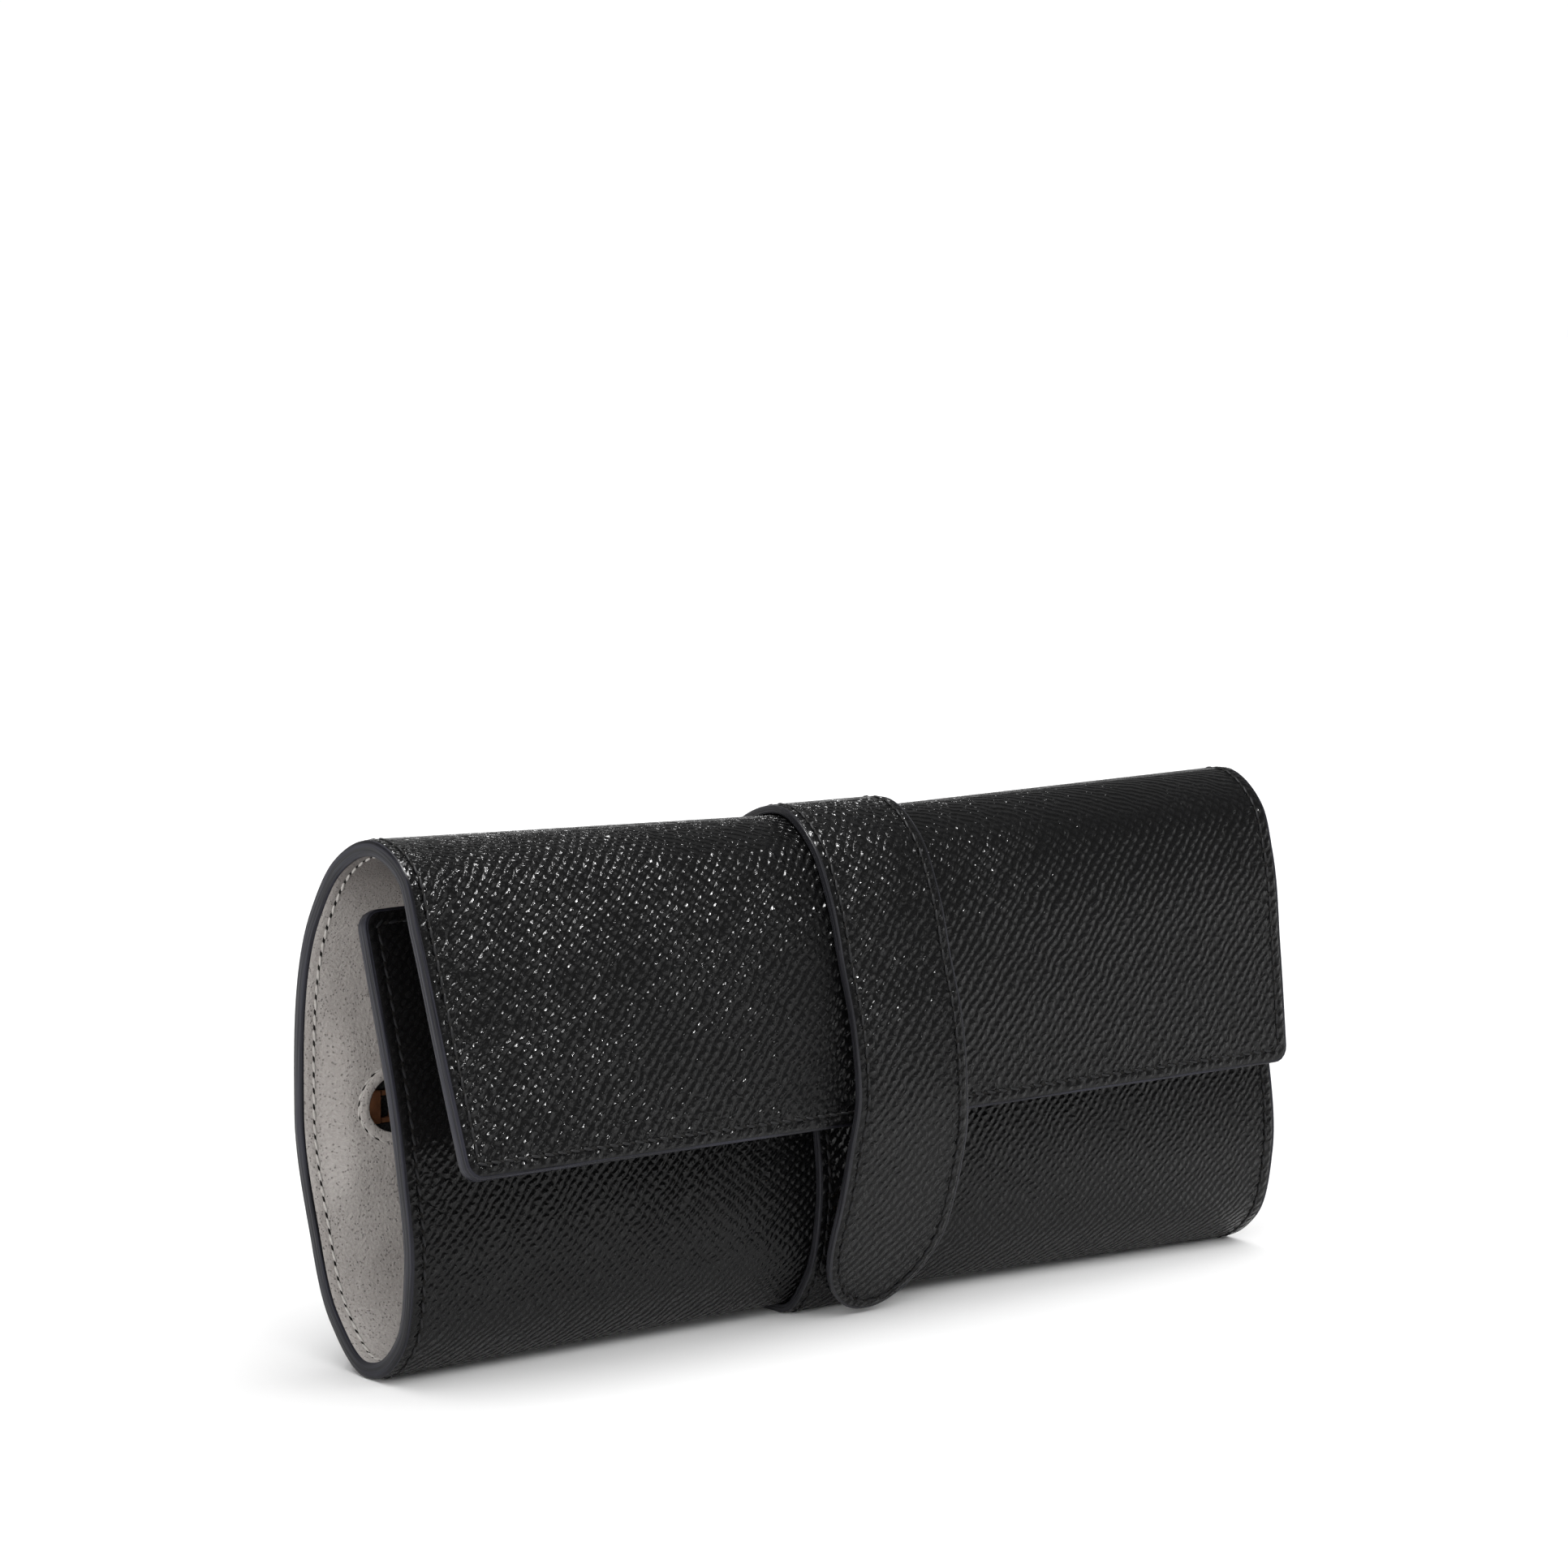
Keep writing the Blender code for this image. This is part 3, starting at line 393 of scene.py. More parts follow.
def across(half, spacing):
    """Places across a piece from -1 to 1, close together by its edges where the seams are."""
    near = [m * MM for m in SEAM_PLACES if m * MM < half / 2]
    count = max(1, round((half - near[-1]) / spacing))
    right = [(half - near[-1]) * k / count for k in range(count)] + [half - m for m in reversed(near)]
    return [-v / half for v in reversed(right[1:])] + [v / half for v in right]


def rows_from_free_end(half, radius, length, spacing):
    """Rows of a piece from its free end, close together in its rounded corners and at the seam."""
    corner = {radius * (1 - cos(k * pi / 2 / CORNER_STEPS)) for k in range(1, CORNER_STEPS)}
    places = sorted({m * MM for m in SEAM_PLACES} | corner)
    rows = [(0, d, half - radius + sqrt(radius**2 - max(0.0, radius - d) ** 2)) for d in places]
    count = round((length - places[-1]) / spacing)
    return rows + [(k / count, places[-1] * (1 - k / count), half) for k in range(1, count + 1)]


def pressed(edge, seam=SEAM_IN):
    """How far a leather face sinks near its sewn edge: the rolled edge and the pressed seam."""
    over = max(0.0, 1 - edge / EDGE_ROLL_W)
    return EDGE_ROLL * over**2 + SEAM_DIP * exp(-((edge - seam) / SEAM_W) ** 2)


def rolled_face(x, free, edge):
    """A face that is rolled down and pressed by its sewn edge."""
    return pressed(edge)


def level_face(depth):
    """A face that lies at one depth."""
    return lambda x, free, edge: depth


def new_finish(name):
    """A material, and short ways to add a node, a sum, a soft step, and to drive the shader."""
    mat = bpy.data.materials.new(name)
    mat.use_nodes = True
    nodes, links = mat.node_tree.nodes, mat.node_tree.links

    def feed(socket, value):
        if isinstance(value, bpy.types.NodeSocket):
            links.new(value, socket)
        else:
            socket.default_value = value

    def node(kind, inputs=(), **settings):
        made = nodes.new("ShaderNode" + kind)
        for key, value in settings.items():
            setattr(made, key, value)
        for key, value in dict(inputs).items():
            feed(made.inputs[key], value)
        return made

    def maths(operation, a, b=0.0, c=0.0):
        return node("Math", {0: a, 1: b, 2: c}, operation=operation).outputs[0]

    def eased(value, low, high, to_low=0.0, to_high=1.0):
        return node("MapRange", {"Value": value, "From Min": low, "From Max": high, "To Min": to_low,
                                 "To Max": to_high}, interpolation_type="SMOOTHSTEP").outputs["Result"]

    def drive(**sockets):
        for key, value in sockets.items():
            feed(nodes["Principled BSDF"].inputs[key.replace("_", " ")], value)

    return mat, node, maths, eased, drive


def cross_grain(name, fold_at=1.0, smooth_over=0.0, row_pitch=ROW_PITCH, bead_pitch=BEAD_PITCH):
    """
    Black leather pressed with slanting rows of small hard beads, which the light catches in points. At a
    fold the rows are drawn out into ridges, and by the sewn edges the beads are crushed. The leather is
    smoother over the given length from its free end, and toward the roll's right end.
    """
    mat, node, maths, eased, drive = new_finish(name)
    place = node("UVMap", uv_map="grain").outputs["UV"]
    wander = node("TexNoise", {"Vector": place, "Scale": 170.0, "Detail": 3.0}, noise_dimensions="2D")
    wide = node("TexNoise", {"Vector": place, "Scale": 45.0, "Detail": 2.0}, noise_dimensions="2D")
    fine = node("TexNoise", {"Vector": place, "Scale": 2400.0, "Detail": 2.0}, noise_dimensions="2D")
    crushed = node("TexNoise", {"Vector": place, "Scale": 620.0, "Detail": 2.0, "Distortion": 0.8},
                   noise_dimensions="2D")
    shift = node("VectorMath", {0: wander.outputs["Color"], 1: (0.5, 0.5, 0.5)}, operation="SUBTRACT")
    shift = node("VectorMath", {0: shift.outputs[0], "Scale": GRAIN_WANDER}, operation="SCALE")
    moved = node("VectorMath", {0: place, 1: shift.outputs[0]}, operation="ADD")
    u, v = node("SeparateXYZ", {0: moved.outputs[0]}).outputs[:2]
    waves = []
    for turn, pitch in ((ROW_TURN, row_pitch), (BEAD_TURN, bead_pitch), (RIDGE_TURN, RIDGE_PITCH)):
        run = maths("ADD", maths("MULTIPLY", u, cos(turn)), maths("MULTIPLY", v, sin(turn)))
        wave = maths("SINE", maths("MULTIPLY", run, tau / pitch))
        waves.append(maths("MULTIPLY_ADD", wave, 0.5, 0.5))
    row, bead, ridge = waves
    beads = maths("MULTIPLY", row, maths("MULTIPLY_ADD", maths("POWER", bead, 0.7), 0.78, 0.22))
    from_fold = maths("ABSOLUTE", maths("SUBTRACT", v, fold_at))
    from_fold = maths("MULTIPLY_ADD", wide.outputs["Fac"], FOLD_RAGGED, from_fold)
    folded = eased(from_fold, *FOLD_ZONE, 1.0, 0.0)
    lens = node("Mix", {"Factor": folded, "A": beads, "B": maths("MULTIPLY", ridge, 1.4)}).outputs["Result"]
    uneven = maths("MULTIPLY_ADD", wide.outputs["Fac"], 1.2, 0.40)
    broken = maths("MULTIPLY_ADD", crushed.outputs["Fac"], 1.1, 0.45)
    pebble = maths("MULTIPLY", lens, maths("MULTIPLY", uneven, broken))
    edge = node("Attribute", attribute_name="edge").outputs["Fac"]
    crease = maths("MULTIPLY", eased(edge, *CRUSH_ZONE, 1.1, 0.45), crushed.outputs["Fac"])
    raised = maths("ADD", maths("MULTIPLY_ADD", fine.outputs["Fac"], 0.12, pebble), crease)
    whole = eased(maths("ABSOLUTE", v), smooth_over * 0.75, smooth_over + 1 * MM, SMOOTHNESS, 1.0)
    whole = maths("MULTIPLY", whole, eased(u, *CALM_ZONE, 1.0, CALM))
    strength = maths("MULTIPLY", eased(edge, *BARE_EDGE, 0.35, 1.0), whole)
    bump = node("Bump", {"Strength": strength, "Distance": GRAIN_RELIEF, "Height": raised})
    tone = eased(pebble, 0.0, 0.8, *DYE)
    color = node("CombineColor", {"Red": tone, "Green": tone, "Blue": maths("MULTIPLY", tone, 1.06)})
    drive(Base_Color=color.outputs[0], Roughness=eased(pebble, 0.1, 0.7, *GLAZE), Normal=bump.outputs[0],
          Specular_IOR_Level=GLOSS)
    return mat


def dress(piece, finish):
    """Give a piece its finish."""
    piece.data.materials.append(finish)
    return piece


def fold_line(x):
    """Length from the flap's edge to the top fold."""
    course = wrap(x)
    return course.along[NAMES.index("top_fold") * CURVE_STEPS] - course.start


def bend_at_top(piece):
    """Bake the piece's place into its mesh; the piece crosses the top fold."""
    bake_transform(piece)


def bend_at_bottom(piece):
    """Bake the piece's place into its mesh; the piece starts at the bottom fold."""
    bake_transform(piece)


def wrap_length(x):
    """Length from the flap's edge to the bottom fold."""
    return wrap(x).length


def leaf_length(x):
    """Length from the bottom fold to the leaf's edge."""
    return leaf(x).length


black_leather = cross_grain("black_leather", fold_at=fold_line(0.0))
leaf_leather = cross_grain("leaf_leather", smooth_over=LEAF_SMOOTH, row_pitch=LEAF_ROW_PITCH,
                           bead_pitch=LEAF_BEAD_PITCH)
edge_of_sheet = edge_round(HALF, CORNER_R)
sheet_columns = across(HALF, MESH_ALONG)
wrap_rows = rows_from_free_end(HALF, CORNER_R, wrap_length(0.0), MESH_ROUND)
leaf_rows = rows_from_free_end(HALF, CORNER_R, leaf_length(0.0), MESH_ROUND)
cover_wrap = lay_sheet("cover_wrap", on_wrap, wrap_length, wrap_rows, sheet_columns, rolled_face,
                       level_face(COVER_T), edge_of_sheet)
cover_front = lay_sheet("cover_front", on_leaf, leaf_length, leaf_rows, sheet_columns, rolled_face,
                        level_face(COVER_T), edge_of_sheet, run=-1)
dress(cover_wrap, black_leather)
dress(cover_front, leaf_leather)
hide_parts("cover_flap", "cover_back")
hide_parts("cover_leaf")
bend_at_top(cover_wrap)
bend_at_bottom(cover_front)


# The stiffener boards
# Thin fibre boards lie between the cover and the lining of each panel and stop short of the seams. They
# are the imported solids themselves.
BOARD_DARK = (0.13, 0.10, 0.075, 1)
BOARD_LIGHT = (0.22, 0.18, 0.13, 1)

fibre_board, node, maths, eased, drive = new_finish("fibre_board")
fibres = node("TexNoise", {"Vector": node("TexCoord").outputs["Object"], "Scale": 900.0, "Detail": 6.0})
tint = node("MixRGB", {0: fibres.outputs["Fac"], 1: BOARD_DARK, 2: BOARD_LIGHT})
felt = node("Bump", {"Strength": 0.4, "Distance": 0.05 * MM, "Height": fibres.outputs["Fac"]})
drive(Base_Color=tint.outputs[0], Roughness=0.85, Normal=felt.outputs[0])


def refinish(node_name, finish):
    """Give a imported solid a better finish."""
    for slot in frame["nodes"][node_name].material_slots:
        slot.material = finish


for panel in ("flap", "back", "leaf"):
    refinish(f"board_{panel}", fibre_board)


# The lining
# Warm grey suede-finished leather lines the whole inside. On the back it swells over the zip pocket, and
# a long window with round ends is cut in it for the zip, with a turned and stitched welt.
ZIP_END = 12.7 * MM
WINDOW_H = 11.7 * MM
ZIP_Z = ZIP_AT * HEIGHT
LINING_IN = COVER_T + BOARD_T + 2 * SEAT
LINING_ROLLED = 0.6          # the soft lining is rolled down by this share of the cover's roll
SUEDE_DARK = (0.325, 0.302, 0.286, 1)
SUEDE_LIGHT = (0.415, 0.390, 0.372, 1)
SUEDE_PORE = (0.07, 0.06, 0.055, 1)
SUEDE_RELIEF = 0.26 * MM
PAINTED_FOLD_SHADE = (0.060, 0.047, 0.041, 1)    # painted shade under the top fold, darkest near it
PAINTED_SHADE_ZONE = (8 * MM, 34 * MM)
PAINTED_SHADE_SHARE = 0.90
POCKET_T = 0.3 * MM
POCKET_DROP = 30.0 * MM
POCKET_RISE = 13.0 * MM
POCKET_MARGIN = 6.0 * MM
POCKET_FADE = 12.0 * MM
TAPE_T = 0.4 * MM
TAPE_REACH = 10.0 * MM
TOOTH_T = 1.3 * MM
BOARD_MARGIN = 3.5 * MM
SLIDER_BACK_T = 0.4 * MM
POCKET_AIR = 0.5 * MM
TOOTH_IN = LINING_IN + POCKET_T + POCKET_AIR + SLIDER_BACK_T + SEAT
TAPE_IN = TOOTH_IN + (TOOTH_T - TAPE_T) / 2
LINING_OVER_TAPE = TAPE_IN + TAPE_T + SEAT
TAPE_OVER = 3.5 * MM         # the tapes go on past the window's ends
TAPE_HALF = LENGTH / 2 - ZIP_END + TAPE_OVER
RIM_W = 2.0 * MM             # the welt round the window, and how far it stands out
RIM_PROUD = 0.45 * MM
RIM_ROUND = 0.20 * MM
RIM_LAP = 0.06 * MM          # it covers the window's cut edge
RIM_FOOT = 0.1 * MM
LINE_STEP = 0.8 * MM         # spacing of the window's outline, and of a trim's rings
TRIM_STEP = 1.0 * MM


def zip_line(x):
    """Length from the flap's edge to the middle of the zip."""
    course = wrap(x)
    return course.along[NAMES.index("back_middle") * CURVE_STEPS] - course.start


def swell(x, z, reach, low, high, fade):
    """1 over a rectangle of the back lining, falling to 0 around it within the fades."""
    over = max(0.0, (abs(x) - reach) / fade[0], (z - high) / fade[1], (low - z) / fade[1])
    share = max(0.0, 1 - over)
    return share * share * (3 - 2 * share)


def lining_depth(x, free, edge):
    """The lining's hidden face, which swells over the pocket and further over the zip's tapes."""
    if abs(free - zip_line(x)) > POCKET_DROP + POCKET_MARGIN + POCKET_FADE:
        return LINING_IN
    z = wrap(x).at(free)[0][1]
    pocket = swell(x, z, TAPE_HALF, ZIP_Z - POCKET_DROP - POCKET_MARGIN,
                   ZIP_Z + POCKET_RISE + POCKET_MARGIN, (LENGTH / 2 - TAPE_HALF - 2 * SEAT, POCKET_FADE))
    tapes = swell(x, z, TAPE_HALF + SEAT, ZIP_Z - TAPE_REACH - SEAT, ZIP_Z + TAPE_REACH + SEAT,
                  (LENGTH / 2 - TAPE_HALF - BOARD_MARGIN, POCKET_FADE))
    return LINING_IN + max((POCKET_T + SEAT) * pocket, (LINING_OVER_TAPE - LINING_IN) * tapes)


def lining_face(x, free, edge):
    """The face of the lining that is seen inside the flap and the back."""
    return lining_depth(x, free, edge) + LINING_T - LINING_ROLLED * pressed(edge)


def leaf_lining_face(x, free, edge):
    """The face of the lining that is seen on the leaf."""
    return SHEET_T - LINING_ROLLED * pressed(edge)


def suede(name, mapped=True):
    """Warm grey suede-finished leather: open pores in a fine nap, soft clouds, and where mapped, painted
    shade near the top fold.
    """
    mat, node, maths, eased, drive = new_finish(name)
    place = node("UVMap", uv_map="grain").outputs["UV"] if mapped else node("TexCoord").outputs["Object"]
    clouds = node("TexNoise", {"Vector": place, "Scale": 35.0, "Detail": 3.0})
    nap = node("TexNoise", {"Vector": place, "Scale": 1500.0, "Detail": 3.0})
    creases = node("TexNoise", {"Vector": place, "Scale": 160.0, "Detail": 2.0, "Distortion": 1.2})
    pores = node("TexVoronoi", {"Vector": place, "Scale": 1500.0, "Randomness": 1.0})
    few = node("TexNoise", {"Vector": place, "Scale": 500.0, "Detail": 1.0})
    deep = maths("MULTIPLY", eased(pores.outputs["Distance"], 0.10, 0.34, 1.0, 0.0),
                 eased(few.outputs["Fac"], 0.34, 0.46))
    mix = maths("MULTIPLY_ADD", clouds.outputs["Fac"], 0.6, maths("MULTIPLY", nap.outputs["Fac"], 0.4))
    tint = node("MixRGB", {0: eased(mix, 0.35, 0.65), 1: SUEDE_DARK, 2: SUEDE_LIGHT})
    tint = node("MixRGB", {0: maths("MULTIPLY", deep, 0.5), 1: tint.outputs[0], 2: SUEDE_PORE})
    # Painted shade: the colour darkens towards the top fold, standing in for the shade of the closed fold.
    if mapped:
        v = node("SeparateXYZ", {0: place}).outputs[1]
        from_fold = maths("ABSOLUTE", maths("SUBTRACT", v, fold_line(0.0)))
        tint = node("MixRGB", {0: eased(from_fold, *PAINTED_SHADE_ZONE, PAINTED_SHADE_SHARE, 0.0), 1: tint.outputs[0],
                               2: PAINTED_FOLD_SHADE})
    relief = maths("SUBTRACT", maths("MULTIPLY_ADD", nap.outputs["Fac"], 0.9, creases.outputs["Fac"]),
                   maths("MULTIPLY", deep, 0.5))
    bump = node("Bump", {"Strength": 1.0, "Distance": SUEDE_RELIEF, "Height": relief})
    drive(Base_Color=tint.outputs[0], Roughness=0.78, Normal=bump.outputs[0], Specular_IOR_Level=0.3,
          Sheen_Weight=0.12)
    return mat


def settle(piece):
    """Turn a piece's modifiers into its mesh."""
    done = bpy.data.meshes.new_from_object(piece.evaluated_get(bpy.context.evaluated_depsgraph_get()))
    piece.modifiers.clear()
    piece.data = done


def stadium(half_length, radius):
    """A closed line with round ends: (x, height), anticlockwise, starting at the lower left."""
    straight = half_length - radius
    count = round(2 * straight / LINE_STEP)
    turn = round(pi * radius / LINE_STEP)
    line = [(-straight + 2 * straight * k / count, -radius) for k in range(count)]
    line += [(straight + radius * sin(pi * k / turn), -radius * cos(pi * k / turn)) for k in range(turn)]
    return line + [(-x, -z) for x, z in line]


lining_suede = suede("lining_suede")
lining_wrap = lay_sheet("lining_wrap", on_wrap, wrap_length, wrap_rows, sheet_columns, lining_depth,
                        lining_face, edge_of_sheet)
bm = bmesh.new()
window = stadium(LENGTH / 2 - ZIP_END, WINDOW_H / 2)
bm.faces.new([bm.verts.new((x, BACK_Y - COVER_T, ZIP_Z + z)) for x, z in window])
far_side = bmesh.ops.extrude_face_region(bm, geom=bm.faces[:])["geom"]
bmesh.ops.translate(bm, verts=[v for v in far_side if isinstance(v, bmesh.types.BMVert)],
                    vec=(0, -(LINING_OVER_TAPE + LINING_T), 0))
bmesh.ops.recalc_face_normals(bm, faces=bm.faces[:])
cutter = finish_piece("window_cutter", bm)
cut = lining_wrap.modifiers.new("window", "BOOLEAN")
cut.operation = "DIFFERENCE"
cut.solver = "EXACT"
cut.object = cutter
settle(lining_wrap)
bpy.data.objects.remove(cutter, do_unlink=True)
lining_front = lay_sheet("lining_front", on_leaf, leaf_length, leaf_rows, sheet_columns,
                         level_face(LINING_IN), leaf_lining_face, edge_of_sheet)


def stations(line, spacing, inset=0.0, closed=False):
    """Evenly spaced places on a flat line moved inwards: point, direction and outward direction."""
    points = np.vstack([line, line[:1]]) if closed else line
    along = np.concatenate([[0], np.cumsum(np.linalg.norm(np.diff(points, axis=0), axis=1))])
    ways = np.gradient(points, along, axis=0)
    ways /= np.linalg.norm(ways, axis=1)[:, None]
    outs = np.column_stack([ways[:, 1], -ways[:, 0]])
    moved = points - outs * inset
    along = np.concatenate([[0], np.cumsum(np.linalg.norm(np.diff(moved, axis=0), axis=1))])
    count = max(1, round(along[-1] / spacing))
    found = []
    for s in np.linspace(0, along[-1], count + 1)[:count if closed else None]:
        found.append([np.array([np.interp(s, along, data[:, k]) for k in (0, 1)])
                      for data in (moved, ways, outs)])
    return found


def rest_on_table(bm):
    """The roll's weight presses thread and paint flat where they would reach below the table."""
    for vert in bm.verts:
        vert.co.z = max(vert.co.z, 0.0)


def tube_round(name, rings, closed=False):
    """A skin over a row of like rings of points, with its ends closed and a map along and around it."""
    bm = bmesh.new()
    turn, run = len(rings[0]), len(rings)
    bmesh.ops.create_grid(bm, x_segments=turn, y_segments=run if closed else run - 1, size=1.0)
    grain = bm.loops.layers.uv.new("grain")
    gap = (rings[1][0] - rings[0][0]).length
    for n, vert in enumerate(sorted(bm.verts, key=lambda v: (round(v.co.y, 6), v.co.x))):
        row, column = divmod(n, turn + 1)
        for loop in vert.link_loops:
            loop[grain].uv = (row * gap, column / turn)
        vert.co = rings[row % run][column % turn]
    rest_on_table(bm)
    bmesh.ops.remove_doubles(bm, verts=bm.verts[:], dist=1e-7)
    if not closed:
        bmesh.ops.holes_fill(bm, edges=[e for e in bm.edges if e.is_boundary], sides=0)
    bmesh.ops.recalc_face_normals(bm, faces=bm.faces[:])
    return finish_piece(name, bm, sharp=1.2)


def trim(name, spot, line, profile, closed):
    """A profile of (outwards, depth) drawn along a line of a piece."""
    rings = [[spot(*(point + out * o), sunk) for o, sunk in profile]
             for point, way, out in stations(line, TRIM_STEP, closed=closed)]
    return tube_round(name, rings, closed)


def by_window(x, z, sunk):
    """A place beside the window at a depth from the back lining's inner face."""
    free = zip_line(x) - (z - ZIP_Z)
    return on_wrap(x, free, lining_depth(x, free, 0.0) + LINING_T + sunk)


window_line = np.array(window) + np.array((0.0, ZIP_Z))
rim_profile = [(-RIM_LAP, -LINING_T), (-RIM_LAP, RIM_PROUD - RIM_ROUND), (RIM_ROUND, RIM_PROUD),
               (RIM_W - RIM_ROUND, RIM_PROUD), (RIM_W, RIM_PROUD - RIM_ROUND), (RIM_W, -RIM_FOOT),
               (RIM_W / 2, -LINING_T / 2)]
window_rim = trim("window_rim", by_window, window_line, rim_profile, closed=True)
dress(lining_wrap, lining_suede)
dress(lining_front, lining_suede)
dress(window_rim, suede("rim_suede", mapped=False))
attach(window_rim, "back")
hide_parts("lining_flap", "lining_back")
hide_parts("lining_leaf")
bend_at_top(lining_wrap)
bend_at_bottom(lining_front)


# The painted edges
# The layers are trimmed together and the raw edge is painted charcoal in several coats, which leaves a
# rounded, faintly streaked band along the ends, the flap's edge and the leaf's edge.
PAINT_LAP = 0.30 * MM        # paint carried over onto each face
PAINT_PROUD = 0.05 * MM
PAINT_IN = 0.22 * MM         # it starts this far below the outer face, where the edge is rolled down
PAINT_OUT = 0.12 * MM        # and ends this far short of the lining's face
PAINT_STEPS = 10
PAINT_RELIEF = 0.16 * MM
EDGE_STEP = 0.5 * MM         # spacing of the points of an edge, and steps in its rounded corner
EDGE_TURN = 9
CHARCOAL = ((0.006, 0.006, 0.008), (0.020, 0.020, 0.028))    # in the streaks, and between them


def outline_of(half, radius, left, right):
    """A piece's edge with a round-cornered free end: points (x, length from the free end)."""
    left_run = np.linspace(left, radius, round((left - radius) / EDGE_STEP))
    right_run = np.linspace(radius, right, round((right - radius) / EDGE_STEP))
    turn = np.linspace(0, pi / 2, EDGE_TURN)[1:-1]
    width = np.linspace(-half + radius, half - radius, round(2 * (half - radius) / EDGE_STEP))
    points = [(-half, f) for f in left_run]
    points += [(-half + radius * (1 - cos(a)), radius * (1 - sin(a))) for a in turn]
    points += [(x, 0.0) for x in width]
    points += [(half - radius * (1 - cos(a)), radius * (1 - sin(a))) for a in reversed(turn)]
    points += [(half, f) for f in right_run]
    return np.array(points)


def paint_edge(name, spot, line, near, far):
    """A rounded band of paint along an edge, from the outer face's depth to the inner one's."""
    middle, reach = (near + far) / 2, (far - near) / 2 + PAINT_PROUD
    turns = [-pi / 2 + pi * k / PAINT_STEPS for k in range(PAINT_STEPS + 1)]
    profile = [(-PAINT_LAP, middle - reach)]
    profile += [(PAINT_BULGE * max(0.0, cos(a)) ** 0.7, middle + reach * sin(a)) for a in turns]
    profile += [(-PAINT_LAP, middle + reach * share) for share in (1, 0.5, -0.5)]
    return trim(name, spot, line, profile, closed=False)


def edge_paint(name, dark, light, rough):
    """Smooth edge paint with faint streaks along it."""
    mat, node, maths, eased, drive = new_finish(name)
    place = node("UVMap", uv_map="grain").outputs["UV"]
    drawn = node("VectorMath", {0: place, 1: (0.03, 0.006, 1.0)}, operation="MULTIPLY")
    strokes = node("TexNoise", {"Vector": drawn.outputs[0], "Scale": 1400.0, "Detail": 3.0},
                   noise_dimensions="2D")
    tint = node("MixRGB", {0: eased(strokes.outputs["Fac"], 0.35, 0.65), 1: (*dark, 1), 2: (*light, 1)})
    bump = node("Bump", {"Strength": 1.0, "Distance": PAINT_RELIEF, "Height": strokes.outputs["Fac"]})
    drive(Base_Color=tint.outputs[0], Normal=bump.outputs[0], Specular_IOR_Level=0.18,
          Roughness=eased(strokes.outputs["Fac"], 0.3, 0.7, rough, rough + 0.14))
    return mat


charcoal_paint = edge_paint("charcoal_edge_paint", *CHARCOAL, rough=0.32)
wrap_edge = outline_of(HALF, CORNER_R, wrap_length(-HALF), wrap_length(HALF))
leaf_edge = outline_of(HALF, CORNER_R, leaf_length(-HALF), leaf_length(HALF))
paint_wrap = paint_edge("edge_paint_wrap", on_wrap, wrap_edge, PAINT_IN, SHEET_T - PAINT_OUT)
paint_front = paint_edge("edge_paint_leaf", on_leaf, leaf_edge, PAINT_IN, SHEET_T - PAINT_OUT)
for painted, bend in ((paint_wrap, bend_at_top), (paint_front, bend_at_bottom)):
    dress(painted, charcoal_paint)
    bend(painted)


# The strap, the tongue and the band
# A strap of the same leather is sewn round the middle over the fold. In front it leaves the flap as a
# free tongue with a round tip and a thin leather lining, and below it goes on as the band on the leaf.
TONGUE_W = 28.2 * MM
TONGUE_LEATHER_T = 1.0 * MM
TONGUE_GLUE = 0.02 * MM
TONGUE_ROLLED = 0.4          # its lining is rolled down by this share of the face's roll
TONGUE_TIP = 20.0 * MM
TIP_BLUNT = radians(4)       # the part of its round end that the very tip leaves off
TIP_STEPS = 24
TONGUE_ROWS = 40
TONGUE_FLARE = (36.0 * MM, 48.0 * MM)    # from the tip, where it narrows to the strap's width
BAND_RISE = 56.0 * MM
BAND_CORNER_R = 5.0 * MM
TONGUE_SECTION = ((0.655, 0.010), (0.797, 0.182), (0.866, 0.310), (0.906, 0.440), (0.880, 0.590))
TONGUE_FROM = 0.735          # the height at which it leaves the flap, as a share of the roll's
STRAP_HALF = STRAP_W / 2 - PAINT_BULGE
STRAP_SEAM_IN = 1.9 * MM
STRAP_ROWS = 110
STRAP_PAINT_OUT = 0.02 * MM
TONGUE_PAINT_OUT = 0.10 * MM
BLACK_PAINT = ((0.012, 0.012, 0.014), (0.024, 0.024, 0.028))

flap_line = wrap(0.0)
tongue_start = min(np.linspace(0, zip_line(0.0) / 2, 4000),
                   key=lambda s: abs(flap_line.at(s)[0][1] - TONGUE_FROM * HEIGHT))
root_point, root_out = flap_line.at(tongue_start)
root_face = root_point + root_out * STACK
tongue_points = np.array([(q * DEPTH, z * HEIGHT) for q, z in TONGUE_SECTION] + [tuple(root_face)])
tongue_line = Course(smooth_curve(tongue_points, {len(TONGUE_SECTION): (-root_out[1], root_out[0])}))


def tongue(x):
    """The tongue's outer face from its tip up to where it leaves the flap."""
    return tongue_line


on_band = lying_on(leaf, lambda course, free: BAND_RISE - free)
on_tongue = lying_on(tongue, lambda course, free: free)


def tongue_half(free):
    """Half the tongue's width at a length from its tip."""
    wide = TONGUE_W / 2 - PAINT_BULGE
    if free < TONGUE_TIP:
        return wide * sqrt(max(0.0, 1 - (1 - free / TONGUE_TIP) ** 2))
    share = min(1.0, max(0.0, (free - TONGUE_FLARE[0]) / (TONGUE_FLARE[1] - TONGUE_FLARE[0])))
    return wide + (STRAP_HALF - wide) * share * share * (3 - 2 * share)


